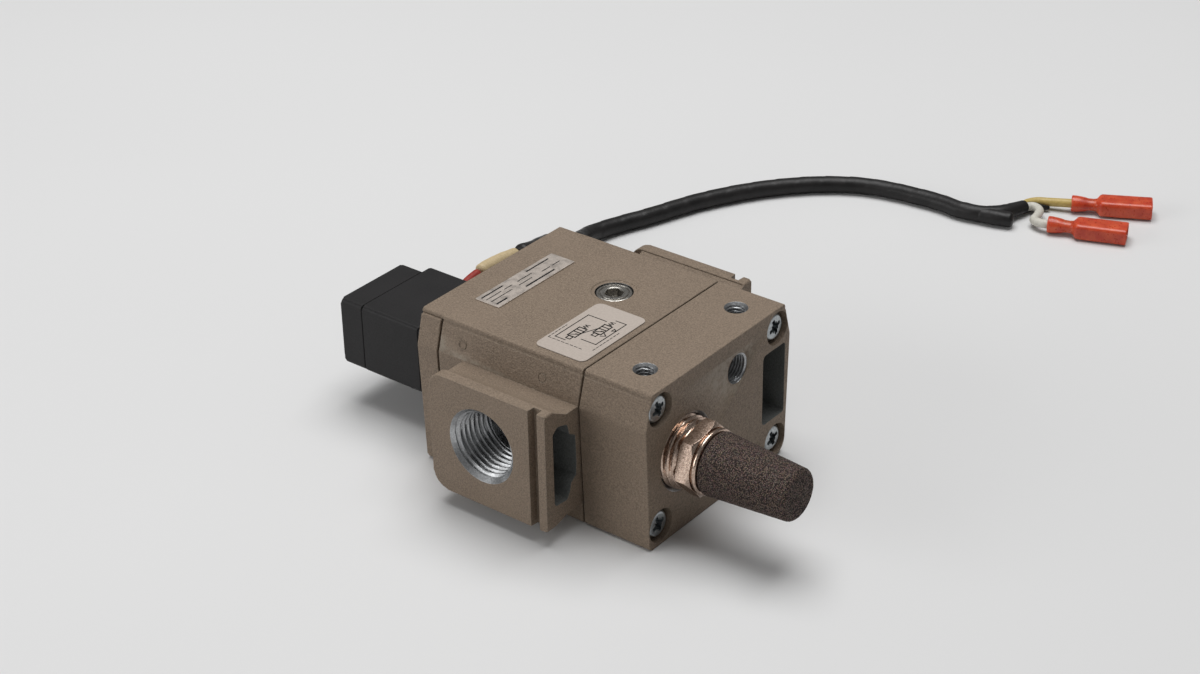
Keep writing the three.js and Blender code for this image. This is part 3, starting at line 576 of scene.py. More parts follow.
def cut(made, tools):
    return combined(made, tools, "DIFFERENCE")


def mirrored(made):
    """A copy on the other side of the middle plane."""
    other = made.copy()
    other.data = made.data.copy()
    other.data.transform(Matrix.Scale(-1, 4, (0, 1, 0)))
    other.data.flip_normals()
    bpy.context.scene.collection.objects.link(other)
    return other


def settle(made, nodes, crease=32, body=None):
    """Moves a finished drawing into the row frame, where it stands for its CAD nodes."""
    made.data.transform(TO_ROW)
    made.data.shade_smooth()
    made.data.set_sharp_from_angle(angle=radians(crease))
    normals = made.modifiers.new("face_normals", "WEIGHTED_NORMAL")
    normals.keep_sharp = True
    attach(made, body or BODY_OF[nodes[0]])
    if nodes:
        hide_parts(*nodes)
    return made


# ------------------------------------------------------------------ lead, drawn first
LEAD_R = 2.9
LEAD_REST_Z = LEAD_R + 0.15


def on_floor(points):
    """Points of the lead where it lies on the floor."""
    return [(x, y, LEAD_REST_Z) for x, y in points]


LEAD_ROUTE = [
    (-22.85, 36.8, 29.8), (-22.9, 42.5, 28.4), (-27, 56.3, 24), (-35.6, 74.9, 13), (-42.4, 90, 6.2),
    (-44.9, 100.3, 3.7),
    *on_floor([(-42.6, 111), (-38.2, 121.7), (-29.9, 143.7), (-17.5, 164.2), (-2.8, 178.9), (11, 186.4)]),
    *on_floor([(34.8, 189.9), (44.5, 189.2), (51.5, 190.6), (56.3, 194.3), (58.8, 199.6), (60.6, 205.2)]),
]
FOLD_ROUTE = on_floor([(50.5, 190.1), (56.5, 191.1), (62.6, 193.1)])
TAIL_ROUTE = [(59.4, 203.2, 2.3), (61.2, 206.8, 2.1), (63.6, 209.0, 1.9), (66.6, 210.9, 1.5)]
RED_ROUTE = [(-22, 4.4, 30.5), (-22, 9.5, 30.5), (-22.6, 14, 30.9), (-23.1, 18.6, 31.1)]
SLEEVE_ROUTE = [(-23.15, 18.9, 31.1), (-23.4, 24, 31), (-23.3, 30, 30.6), (-22.9, 36.4, 29.9)]
WIRE_R = 1.5
WIRE_Z = 2.7
WIRE_EXIT = (60.3, 204.2)
TERMINALS = [
    ((72.2, 215.5), (96, 227.9), [(59.6, 206.8), (61.5, 210.4), (65.6, 212.8)]),
    ((73.3, 197), (97.9, 206.2), [(62.6, 206.5), (65.6, 205.2), (67, 201.6), (67.8, 197.6)]),
]


def smooth_route(points, per_span=10):
    """Points along a centripetal Catmull-Rom curve through the given ones."""
    points = [Vector(p) for p in points]
    first = points[0] * 2 - points[1]
    last = points[-1] * 2 - points[-2]
    held = [first, *points, last]
    route = []
    for a, b, c, d in zip(held, held[1:], held[2:], held[3:]):
        knots = [0.0]
        for p, q in ((a, b), (b, c), (c, d)):
            knots.append(knots[-1] + sqrt((q - p).length))
        k0, k1, k2, k3 = knots
        for step in range(per_span):
            t = k1 + (k2 - k1) * step / per_span
            ab = a.lerp(b, (t - k0) / (k1 - k0))
            bc = b.lerp(c, (t - k1) / (k2 - k1))
            cd = c.lerp(d, (t - k2) / (k3 - k2))
            abc = ab.lerp(bc, (t - k0) / (k2 - k0))
            bcd = bc.lerp(cd, (t - k1) / (k3 - k1))
            route.append(abc.lerp(bcd, (t - k1) / (k2 - k1)))
    route.append(points[-1])
    return route


def evenly(route, spacing):
    """The route again, with points at one spacing."""
    lengths = [(q - p).length for p, q in pairwise(route)]
    count = max(2, round(sum(lengths) / spacing))
    step = sum(lengths) / count
    even, walked, target = [route[0].copy()], 0.0, step
    for (p, q), length in zip(pairwise(route), lengths):
        while target <= walked + length + 1e-9 and len(even) < count:
            even.append(p.lerp(q, (target - walked) / length))
            target += step
        walked += length
    even.append(route[-1].copy())
    return even


def route_length(route):
    return sum((q - p).length for p, q in pairwise(route))


def sweep(name, route, radius_at, look, sides=32, round_ends=True):
    """A tube along a route; radius_at(distance, angle) is its radius there."""
    bm = bmesh.new()
    rings = []
    side = (route[1] - route[0]).orthogonal().normalized()
    walked = 0.0
    total = route_length(route)
    for k, point in enumerate(route):
        before, after = route[max(k - 1, 0)], route[min(k + 1, len(route) - 1)]
        ahead = (after - before).normalized()
        side = (side - ahead * side.dot(ahead)).normalized()
        up = ahead.cross(side)
        if k:
            walked += (point - route[k - 1]).length
        shrink = 1.0
        if round_ends:
            near = min(walked, total - walked) / radius_at(walked, 0.0)
            shrink = sqrt(max(0.0, 1 - max(0.0, 0.55 - near) ** 2 / 0.36))
        band = []
        for angle in around(sides):
            radius = radius_at(walked, angle) * shrink
            offset = side * cos(angle) + up * sin(angle)
            band.append(bm.verts.new(point + offset * radius))
        rings.append(band)
    for first, second in pairwise(rings):
        bridge(bm, first, second)
    bm.faces.new(rings[0])
    bm.faces.new(rings[-1])
    return new_object(name, bm, look)


def draw_lead():
    """Red core, beige sleeve, taped cable with its loose tape ends, two wires and their terminals."""
    route = evenly(smooth_route(LEAD_ROUTE, 16), 0.7)
    length = route_length(route)
    wrap_pitch = 8.5

    def tape_radius(walked, angle):
        phase = (walked / wrap_pitch + angle / (2 * pi)) % 1.0
        step = 0.13 * (1 - phase) * min(1.0, phase * 14)
        crease = 0.05 * noise.noise(Vector((walked * 0.35, cos(angle), sin(angle))))
        narrowing = 0.75 * (1 - min(1.0, (length - walked) / 9)) ** 0.7
        return LEAD_R - 0.09 + step + crease - narrowing

    wrapped = sweep("tape_wrapped_lead", route, tape_radius, "lead_tape", 40)
    settle(wrapped, ["lead_jacket"], 40)

    red = sweep("red_core", evenly(smooth_route(RED_ROUTE), 0.5), lambda w, a: 1.4, "red_insulation", 28)
    settle(red, ["lead_red"], 40)

    def sleeve_radius(walked, angle):
        return 2.15 + 0.07 * noise.noise(Vector((walked * 0.4, cos(angle), sin(angle) + 5)))

    sleeve = sweep("glass_sleeve", evenly(smooth_route(SLEEVE_ROUTE), 0.5), sleeve_radius, "beige_sleeve", 36)
    settle(sleeve, ["lead_sleeve"], 40)

    for number, (start, end, wire_route) in enumerate(TERMINALS, 1):
        along = Vector(end) - Vector(start)
        reach = along.length
        along.normalize()
        points = [Vector((x, y, WIRE_Z)) for x, y in (WIRE_EXIT, *wire_route)]
        for ahead in (-1.8, -0.3, 1.6, 4):
            points.append(Vector((start[0] + along.x * ahead, start[1] + along.y * ahead, WIRE_Z + 0.4)))
        skin = "wire_insulation" if number == 1 else "pale_insulation"
        wire = sweep(f"lead_wire_{number}", evenly(smooth_route(points), 0.4), lambda w, a: WIRE_R, skin, 28)
        settle(wire, [f"core_wire_{number}"], 40)
        turn = Matrix.Rotation(atan2(along.y, along.x), 4, "Z")
        lie = Matrix.Translation((start[0], start[1], WIRE_Z + 0.4)) @ turn
        draw_terminal(number, reach, lie)
    tail_route = evenly(smooth_route(TAIL_ROUTE), 0.4)
    tail_length = route_length(tail_route)

    def tail_radius(walked, angle):
        return 2.1 - 1.6 * (walked / tail_length) ** 1.3 + 0.1 * sin(angle * 3 + walked)

    def fold_radius(walked, angle):
        return 2.65 + 0.12 * noise.noise(Vector((walked * 0.4, cos(angle), sin(angle) + 9)))

    for name, routed, radius in (
        ("tape_tail", tail_route, tail_radius),
        ("tape_fold", evenly(smooth_route(FOLD_ROUTE), 0.4), fold_radius),
    ):
        settle(sweep(name, routed, radius, "lead_tape", 32), [], 40, "valve_body")


def loft(name, stations, look, sides=48):
    """A closed skin through rounded sections (distance, half width, half height, squareness) along X."""
    bm = bmesh.new()
    rings = []
    for along, half_wide, half_high, square in stations:
        band = []
        for angle in around(sides):
            c, s = cos(angle), sin(angle)
            y = half_wide * copysign(abs(c) ** (2 / square), c)
            z = half_high * copysign(abs(s) ** (2 / square), s)
            band.append(bm.verts.new((along, y, z)))
        rings.append(band)
    for first, second in pairwise(rings):
        bridge(bm, first, second)
    bridge(bm, rings[-1], rings[0])
    return new_object(name, bm, look)


def draw_terminal(number, reach, lie):
    """An insulated female push-on terminal: a crimped barrel, a square shell and the brass inside."""
    outside = [
        (0, 2.55, 2.55, 2), (0.25, 2.8, 2.8, 2), (1.4, 2.85, 2.8, 2), (3.2, 2.7, 2.55, 2.1),
        (4.6, 2.55, 2.25, 2.3), (5.6, 2.3, 2.0, 2.2), (7.4, 2.25, 1.95, 2.2), (8.4, 2.4, 2.1, 2.3),
        (9.0, 3.2, 2.5, 2.8), (9.5, 3.9, 2.8, 3.6), (10.2, 4.15, 2.88, 4.5),
        (reach - 0.5, 4.2, 2.9, 4.5), (reach - 0.15, 4.1, 2.82, 4.5), (reach, 3.95, 2.7, 4.5),
        (reach - 0.1, 3.6, 2.2, 4.5), (reach - 1, 3.5, 2.1, 4.5), (10.6, 3.5, 1.9, 4.5),
        (10.0, 2.6, 1.7, 2.5), (9.2, 1.75, 1.72, 2), (0.8, 1.75, 1.75, 2), (0, 2.1, 2.1, 2),
    ]
    shell = loft(f"terminal_{number}_insulation", outside, "terminal_nylon")
    shell.data.transform(lie)
    settle(shell, [f"terminal_sleeve_{number}"], 45)
    back, front = 11, reach - 1.2
    metal_part = prism(
        f"terminal_{number}_receptacle",
        filleted([(-3.2, -1.1, 0.3), (3.2, -1.1, 0.3), (3.2, 1.1, 0.9), (-3.2, 1.1, 0.9)]),
        "x", back, front, "terminal_brass", 0.12, 0.12,
    )
    blade_gap = prism(
        "gap",
        filleted([(-2.8, -0.7, 0.2), (2.8, -0.7, 0.2), (2.8, 0.5, 0.5), (-2.8, 0.5, 0.5)]),
        "x", back - 1, front + 1, "terminal_brass",
    )
    slit = box(back - 1, front + 1, -0.25, 0.25, 0.2, 2, "terminal_brass")
    cut(metal_part, [blade_gap, slit])
    metal_part.data.transform(lie)
    settle(metal_part, [f"terminal_receptacle_{number}"])
    return [shell, metal_part]


draw_lead()


# ------------------------------------------------------------------ castings
WALL_SLOPE = (HALF_KNEE - HALF_TOP) / (HEIGHT - KNEE_Z)
SCREW_HOLE_R = 2.7
MAIN_BORE_R = 13.5
PILOT_BORE_R = 16
CHECK_Y = 19
CHECK_Z = 9.5
GAUGE_PITCH = 0.907


def half_width(z):
    """Half width of the castings above the knee."""
    return HALF_TOP + WALL_SLOPE * (HEIGHT - z)


def section(top, edge_line=True):
    """End-on outline of the castings, with the shallow line under their top edges."""
    sunk = 0.16
    line = []
    if edge_line:
        line = [(top - 2.0, 0), (top - 1.85, sunk), (top - 1.15, sunk), (top - 1.0, 0)]
    rising = [(half_width(z) - depth, z, 0) for z, depth in line]
    falling = [(-y, z, 0) for y, z, _ in reversed(rising)]
    return filleted([
        (-HALF_BASE, 0, 1.5),
        (HALF_BASE, 0, 5),
        (HALF_KNEE, KNEE_Z, 4),
        *rising,
        (half_width(top), top, 0.7),
        (-half_width(top), top, 0.7),
        *falling,
        (-HALF_KNEE, KNEE_Z, 4),
    ])


def screw_tunnels(start, end):
    return [drilled("x", y, z, start, end, SCREW_HOLE_R, segments=32) for y, z in SCREW_PLACES]


def screw_recesses(start, end, radius, end_radius):
    return [plug("x", y, z, start, end, radius, end_radius) for y, z in SCREW_PLACES]


def port_boss():
    """The near port boss: neck, flares, square rim with its clamp groove, and the pocket in its end."""
    inside = -PORT_FACE_Y + RIM_THICKNESS
    neck_outline = rectangle(inside - 1, NECK_BOTTOM, -HALF_TOP + 6, NECK_TOP)
    boss = prism("boss", neck_outline, "x", 16, BODY_END, "cast_paint")
    rim_outline = filleted([
        (RIM_START, RIM_BOTTOM, 5),
        (BODY_END, RIM_BOTTOM, 0.6),
        (BODY_END, RIM_TOP, 0.6),
        (RIM_START, RIM_TOP, 4),
    ], 8)
    rim = prism("rim", rim_outline, "y", -PORT_FACE_Y, inside, "cast_paint", 0.45, 0.3)
    upper = [(inside - 0.2, NECK_TOP - 2), (inside + 5.5, NECK_TOP - 2),
             (inside + 5.5, NECK_TOP - 0.1), (inside - 0.2, RIM_TOP - 0.3)]
    lower = [(inside - 0.2, RIM_BOTTOM + 0.3), (inside + 5, NECK_BOTTOM + 0.1),
             (inside + 5, NECK_BOTTOM + 2), (inside - 0.2, NECK_BOTTOM + 2)]
    flares = [
        prism("flare", upper, "x", 19.5, BODY_END, "cast_paint"),
        prism("flare", lower, "x", 20.5, BODY_END, "cast_paint"),
    ]
    joined(boss, [rim, *flares])
    groove_outline = [
        (GROOVE_START, -PORT_FACE_Y - 1),
        (GROOVE_END, -PORT_FACE_Y - 1),
        (GROOVE_END - 0.3, -PORT_FACE_Y + GROOVE_DEPTH),
        (GROOVE_START + 0.3, -PORT_FACE_Y + GROOVE_DEPTH),
    ]
    groove = prism("groove", groove_outline, "z", -1, HEIGHT, "cast_paint")
    pocket_outline = filleted([
        (-43.9, 12, 1.2), (-38.6, 11.5, 1), (-37.4, 13.4, 0.6), (-36.8, 16, 1), (-34.6, 17.6, 1),
        (-34.3, 21.7, 0), (-34.6, 30.2, 1), (-37.1, 31.6, 1), (-37.9, 35, 1), (-42, 36.2, 1.5),
        (-44, 34.6, 1),
    ], 4)
    # the pocket's inside takes the darker grey, partly painted shade of the recess
    pocket = prism("pocket", pocket_outline, "x", BODY_END - 9, BODY_END + 1, "raw_casting")
    return cut(boss, [groove, pocket])


def port_cutters(side, chamber_x, chamber_r):
    """Mouth, thread, bore and passage of one port; side is -1 for the near one."""
    at = lambda depth: side * (PORT_FACE_Y - depth)
    mouth_end = PORT_THREAD_ROOT - 0.7
    mouth = drilled("y", PORT_X, AXIS_Z, at(-0.6), at(1.5), PORT_MOUTH_R + 0.5, mouth_end, 96)
    pitch_line = thread(
        "port_thread", "y", PORT_X, AXIS_Z, at(-0.4), at(PORT_THREAD_DEPTH),
        PORT_THREAD_CREST, PORT_THREAD_ROOT, PORT_PITCH, "machined", 0.35, 96,
    )
    bore = drilled("y", PORT_X, AXIS_Z, at(1), at(20), PORT_BORE_R, segments=96)
    passage = drilled("y", chamber_x, AXIS_Z, at(19), at(PORT_FACE_Y - 4), chamber_r)
    return [pitch_line, mouth, bore, passage]


def side_mark(x, z):
    """A shallow ring left by an ejector pin in the near side wall."""
    mark = ring("mark", "y", 0, 0, 0, 1.25, 0.13, "cast_paint")
    lean = Matrix.Rotation(-atan(WALL_SLOPE), 4, "X")
    mark.data.transform(Matrix.Translation((x, -half_width(z), z)) @ lean)
    return mark


def draw_body():
    body = prism("valve_casting", section(HEIGHT), "x", BODY_START, BODY_END, "cast_paint", 0.25, 0.3)
    lip_outline = filleted([
        (-HALF_TOP + 0.02, HEIGHT - LIP_THICKNESS, 0.1),
        (HALF_TOP - 0.02, HEIGHT - LIP_THICKNESS, 0.1),
        (HALF_TOP - 0.02, HEIGHT, 0.6),
        (-HALF_TOP + 0.02, HEIGHT, 0.6),
    ])
    lip = prism("lip", lip_outline, "x", BACK, BODY_START + 1, "cast_paint", 0.3)
    near = port_boss()
    far = mirrored(near)
    marks = [side_mark(x, z) for x, z in ((15.2, 42.6), (43.4, 42.2))]
    joined(body, [lip, near, far])
    body = cut(body, [
        drilled("x", 0, AXIS_Z, 24, BODY_END + 1, MAIN_BORE_R, segments=96),
        drilled("x", 0, AXIS_Z, BODY_START - 1, 19, PILOT_BORE_R, segments=96),
        drilled("x", 0, AXIS_Z, 18, 25, 4.4),
        *port_cutters(-1, 28.35, 4.2),
        *port_cutters(1, 41.5, 4.6),
        drilled("z", NEEDLE_X, NEEDLE_Y, HEIGHT - 8.3, HEIGHT + 1, 5.5, segments=96),
        drilled("z", NEEDLE_X + 2.2, NEEDLE_Y, 30, HEIGHT - 6, 1.6),
        plug("z", NEEDLE_X, NEEDLE_Y, HEIGHT - 0.35, HEIGHT + 1, 6.35, 7.5, segments=96),
        drilled("x", CHECK_Y, CHECK_Z, BODY_START - 1, 36, 3.5),
        drilled("x", CHECK_Y, CHECK_Z, 35, 47, 2),
        drilled("y", 28.3, 13.2, 3, 19, 1.8),
        drilled("y", 45, 11.5, 3, 19, 1.8),
        *screw_tunnels(BODY_END - 14, BODY_END + 1),
        *screw_tunnels(BODY_START - 1, BODY_START + 11),
        *marks,
    ])
    settle(body, ["main_body"])


def draw_front_cover():
    cover = prism("front_casting", section(HEIGHT), "x", COVER_START, LENGTH, "cast_paint", 0.3, 0.3)
    window = filleted([(20.3, 13.7, 1.5), (31, 13.7, 1), (31, 36.3, 1), (20.3, 36.3, 1.5)])
    cutters = [
        drilled("x", 0, AXIS_Z, COVER_START - 1, 60.2, 13, segments=96),
        drilled("x", 0, AXIS_Z, 59, 64, 7.5),
        drilled("x", 0, AXIS_Z, 63, 73.5, 9.6),
        drilled("x", MUFFLER_Y, MUFFLER_Z, 66, LENGTH + 1, 10.7, segments=96),
        drilled("x", MUFFLER_Y, MUFFLER_Z, LENGTH - 0.9, LENGTH + 0.6, 10.6, 12.1, 96),
        thread(
            "gauge_thread", "x", GAUGE_Y, GAUGE_Z, 68.5, LENGTH + 1,
            4.2, 4.75, GAUGE_PITCH, "machined", 0, 64,
        ),
        drilled("x", GAUGE_Y, GAUGE_Z, LENGTH - 0.9, LENGTH + 0.6, 4.4, 5.9),
        drilled("x", GAUGE_Y, 35.2, 58, 69, 1.3),
        # the window's inside takes the darker grey, partly painted shade of the recess
        prism("window", window, "x", 63, LENGTH + 1, "raw_casting"),
        *screw_tunnels(COVER_START - 1, LENGTH),
        *screw_recesses(LENGTH - 4.4, LENGTH + 1, 4.8, 5.1),
    ]
    for y in (-TOP_HOLE_Y, TOP_HOLE_Y):
        cutters.append(thread("hole", "z", TOP_HOLE_X, y, 38.6, HEIGHT + 1, 2.45, 3, 1, "machined", 0, 48))
        cutters.append(drilled("z", TOP_HOLE_X, y, HEIGHT - 0.8, HEIGHT + 0.5, 2.6, 3.9, 48))
    settle(cut(cover, cutters), ["front_cover"])


def draw_rear_cover():
    top = HEIGHT - LIP_THICKNESS - 0.15
    cover = prism("rear_casting", section(top, False), "x", BACK, REAR_COVER_END, "cast_paint", 0.5, 0.3)
    coil_y = cad_middle("coil_winding").y
    cut(cover, [
        plug("x", coil_y, 33, BACK - 1, REAR_COVER_END + 1, 1.5),
        *screw_tunnels(BACK - 1, REAR_COVER_END + 1),
        *screw_recesses(BACK - 1, BACK + REAR_RECESS, 4.5, 4.4),
    ])
    settle(cover, ["rear_cover"])


draw_body()
draw_front_cover()
draw_rear_cover()


# ------------------------------------------------------------------ screws and needle
def pan_head(name, node, seat, outward, head_r, head_h, shank_r, length):
    """A cross-recess pan head screw along X; outward is the way its head looks."""
    middle = cad_middle(node)
    y, z = middle.y, middle.z
    at = lambda distance: seat + outward * distance
    corners = [
        (0, at(-length), 0),
        (shank_r - 0.4, at(-length), 0),
        (shank_r, at(-length + 0.8), 0),
        (shank_r, at(0), 0),
        (head_r, at(0), 0.25),
        (head_r, at(head_h * 0.55), head_h * 0.3),
        (head_r * 0.8, at(head_h * 0.93), head_r * 0.25),
        (0, at(head_h), 0),
    ]
    screw = turned(name, corners, "x", y, z, "zinc_screw", 6, 72)
    wide, long, fine = head_r * 0.15, head_r * 0.56, head_r * 0.07
    near, far = sorted((at(head_h * 0.35), at(head_h + 1)))
    arms = []
    for turn in (0, 90, 45, 135):
        diagonal = turn % 90
        half_wide = fine if diagonal else wide
        half_long = long * 0.7 if diagonal else long
        outline = rectangle(-half_long, -half_wide, half_long, half_wide, half_wide * 0.5, 3)
        rotation = Matrix.Rotation(radians(turn + 20), 2)
        placed = [rotation @ p + Vector((y, z)) for p in outline]
        arms.append(prism("arm", placed, "x", near, far, "zinc_screw"))
    cut(screw, arms)
    settle(screw, [node])


def draw_screws():
    front_seat = cad_box("cover_screw_1")[1].x - 3.5
    rear_seat = BACK + REAR_RECESS - 0.2
    for k in (1, 2, 3, 4):
        pan_head(f"cover_pan_screw_{k}", f"cover_screw_{k}", front_seat, 1, 4.5, 3.5, 2.45, 29)
        pan_head(f"rear_pan_screw_{k}", f"rear_screw_{k}", rear_seat, -1, 4.1, 3, 2.45, 15)
    for k in (1, 2):
        seat = cad_box(f"solenoid_screw_{k}")[0].x + 1.5
        pan_head(f"solenoid_pan_screw_{k}", f"solenoid_screw_{k}", seat, -1, 2.2, 1.5, 1.45, 38)


def hexagon(across_flats, turn):
    radius = across_flats / sqrt(3)
    angles = [radians(turn + 30 + 60 * k) for k in range(6)]
    return [Vector((cos(a), sin(a))) * radius for a in angles]


def draw_needle():
    top = cad_box("needle_screw")[1].z
    corners = [
        (0, top - 6, 0), (1.2, top - 6, 0), (3.6, top - 5, 0), (3.6, top - 3.6, 0.1), (5.2, top - 3.6, 0.2),
        (5.2, top, 0.35), (4.45, top, 0), (4.3, top - 0.35, 0), (4.05, top - 0.35, 0), (3.9, top, 0),
        (3.1, top, 0), (2.9, top - 0.15, 0), (0, top - 0.15, 0),
    ]
    needle = turned("needle_adjuster", corners, "z", NEEDLE_X, NEEDLE_Y, "needle_steel")
    socket = [p + Vector((NEEDLE_X, NEEDLE_Y)) for p in hexagon(5, 20)]
    cut(needle, [prism("socket", socket, "z", top - 2.6, top + 1, "needle_steel")])
    settle(needle, ["needle_screw"])
    middle = cad_middle("needle_o_ring")
    o_ring = ring("needle_seal_ring", "z", NEEDLE_X, NEEDLE_Y, middle.z, 4.6, 0.65, "seal_rubber")
    settle(o_ring, ["needle_o_ring"])


draw_screws()
draw_needle()


# ------------------------------------------------------------------ muffler
HEX_START = 82.7
HEX_END = 87.0


def draw_adapter():
    """Pipe thread, chamfered hexagon and the rolled collar that holds the element."""
    y, z = MUFFLER_Y, MUFFLER_Z
    adapter = thread("muffler_nipple", "x", y, z, 71, 82.4, 9.35, 10.4, PORT_PITCH, "adapter_brass", 0, 120)
    flats = [p + Vector((y, z)) for p in hexagon(19, 162)]
    hexagonal = prism("hex", flats, "x", HEX_START, HEX_END, "adapter_brass")
    chamfers = turned("chamfer", [
        (0, HEX_START - 0.5, 0), (9.7, HEX_START - 0.5, 0), (11.3, HEX_START + 0.9, 0.5),
        (11.3, HEX_END - 1.1, 0.5), (9.3, HEX_END + 0.2, 0), (0, HEX_END + 0.2, 0),
    ], "x", y, z, "adapter_brass", 4, 120)
    combined(hexagonal, [chamfers], "INTERSECT")
    neck = plug("x", y, z, 82, HEX_START + 1, 8.9, look="adapter_brass", segments=120)
    collar = turned("collar", [
        (0, HEX_END - 0.6, 0), (8.6, HEX_END - 0.6, 0), (8.8, HEX_END + 0.25, 0.2),
        (9.5, HEX_END + 0.35, 0.5), (9.55, HEX_END + 1.5, 0.6), (8.2, HEX_END + 1.75, 0.3),
        (0, HEX_END + 1.75, 0),
    ], "x", y, z, "adapter_brass", 5, 120)
    joined(adapter, [neck, hexagonal, collar])
    cut(adapter, [plug("x", y, z, 70, 90, 6, look="adapter_brass")])
    settle(adapter, ["muffler_adapter"], 28)


def draw_element():
    """Tapered sintered element, its skin roughened ball by ball."""
    low, high = cad_box("muffler_element")
    start, end = low.x, high.x
    outer = filleted([
        (5.4, start, 0), (8.7, start, 0.3), (9.1, start + 0.5, 0.4), (7.45, end - 0.9, 1.0),
        (6.7, end, 0.7), (0, end, 0),
    ], 6, closed=False)
    fine = []
    for p, q in pairwise(outer):
        steps = max(1, round((q - p).length / 0.28))
        fine.extend(p.lerp(q, k / steps) for k in range(steps))
    fine = fine[:-1] + [Vector((0, end))]
    inner = [Vector((0, end - 2.5)), Vector((4.4, end - 2.5))]
    profile = [*fine, *inner, Vector((5.4, start))]
    element = lathe("sintered_element", profile, "x", MUFFLER_Y, MUFFLER_Z, "sintered_bronze", 180)
    middle = Vector((0, MUFFLER_Y, MUFFLER_Z))
    for vertex in element.data.vertices:
        across = Vector((0, vertex.co.y, vertex.co.z)) - middle
        on_skin = across.length > 5.6 or vertex.co.x > end - 0.5
        if on_skin and across.length > 0.1 and vertex.co.x > start + 0.15:
            near = noise.voronoi(vertex.co / 0.36)[0][0]
            vertex.co += vertex.normal * (0.06 - 0.17 * min(near, 0.7))
    bmesh_clean(element)
    settle(element, ["muffler_element"], 60)


def bmesh_clean(made):
    """Merges doubled points and turns every face outwards."""
    bm = bmesh.new()
    bm.from_mesh(made.data)
    bmesh.ops.remove_doubles(bm, verts=bm.verts, dist=1e-4)
    bmesh.ops.recalc_face_normals(bm, faces=bm.faces)
    bm.to_mesh(made.data)
    bm.free()


draw_adapter()
draw_element()


# ------------------------------------------------------------------ labels
INK_RISE = 0.02
INK_THICKNESS = 0.03


class Ink:
    """Printed strokes on a label that lies on the top face, in the label's own X and Y."""

    def __init__(self, name, label, origin=(0, 0), scale=1.0):
        self.name = name
        self.low, self.high = cad_box(label)
        self.origin = Vector(origin)
        self.scale = scale
        self.bm = bmesh.new()

    def slab(self, points):
        bottom = self.high.z + INK_RISE - INK_THICKNESS
        rims = []
        for height in (bottom, bottom + INK_THICKNESS):
            rims.append([self.bm.verts.new((p.x, p.y, height)) for p in points])
            self.bm.faces.new(rims[-1])
        bridge(self.bm, *rims)

    def stroke(self, x0, y0, x1, y1, width):
        start = self.origin + Vector((x0, y0)) * self.scale
        end = self.origin + Vector((x1, y1)) * self.scale
        ahead = (end - start).normalized() * (width / 2)
        across = Vector((-ahead.y, ahead.x))
        start -= ahead
        end += ahead
        self.slab([start + across, start - across, end - across, end + across])

    def path(self, points, width):
        for (x0, y0), (x1, y1) in pairwise(points):
            self.stroke(x0, y0, x1, y1, width)

    def dashed(self, x0, y0, x1, y1):
        dash, gap, width = 0.7, 0.45, 0.24
        start, end = Vector((x0, y0)), Vector((x1, y1))
        length = (end - start).length
        walked = 0.0
        while walked < length:
            a = start.lerp(end, walked / length)
            b = start.lerp(end, min(1.0, (walked + dash) / length))
            self.stroke(a.x, a.y, b.x, b.y, width)
            walked += dash + gap

    def square(self, x, y, size, width):
        half = size / 2
        corners = [(x - half, y - half), (x + half, y - half), (x + half, y + half), (x - half, y + half)]
        self.path([*corners, corners[0]], width)

    def settle(self):
        settle(new_object(self.name, self.bm, "ink"), [], body="valve_body")


def draw_labels():
    for name, label, slot, corner in (
        ("foil_plate", "nameplate", "nameplate_foil", 0.35),
        ("symbol_plate", "symbol_label", "symbol_label", 2.0),
    ):
        low, high = cad_box(label)
        outline = rectangle(low.x, low.y, high.x, high.y, corner)
        plate = prism(name, outline, "z", low.z, high.z, slot, 0, 0.08)
        settle(plate, [label])
    draw_symbol()
    draw_plate_bars()


def draw_symbol():
    """A generic pneumatic circuit: two valve symbols, a restrictor, a check valve and lines."""
    middle = cad_middle("symbol_label")
    ink = Ink("symbol_print", "symbol_label", (middle.x - 0.4, middle.y + 0.6), 1.3)
    size = 2.0
    for x, y in ((-1.9, -2.4), (1.7, 1.6)):
        for k in (0, 1):
            ink.square(x, y + (k - 0.5) * size, size, 0.4)
        ink.stroke(x - 0.7, y - 1.5, x + 0.7, y - 0.6, 0.36)
        ink.path([(x + 0.7, y - 0.6), (x + 0.2, y - 0.7)], 0.36)
        ink.stroke(x - 0.8, y + 1, x + 0.8, y + 1, 0.4)
        ink.path([(x + (0.5 if j % 2 else -0.5), y + size + 0.35 * j) for j in range(6)], 0.28)
        ink.square(x, y - size - 0.65, 1.1, 0.36)
    ink.path([(-1.9, -6.4), (-4.6, -6.4), (-4.6, 4.8), (0.2, 4.8)], 0.32)
    ink.path([(1.7, 6.2), (4.4, 6.2), (4.4, -4.2), (0.6, -4.2)], 0.32)
    ink.stroke(-0.9, -2.4, 0.7, 1.6, 0.32)
    ink.dashed(-5.6, -7.4, 3.4, -7.4)
    ink.dashed(5.4, -6.4, 5.4, 2.6)
    ink.dashed(-5.6, -7.4, -5.6, -1.2)
    ink.path([(3.0, -0.9), (3.9, -0.2), (3.0, 0.5)], 0.32)
    ink.path([(3.6, 2.2), (3.6, 3.2), (4.4, 2.7), (3.6, 2.2)], 0.3)
    ink.settle()


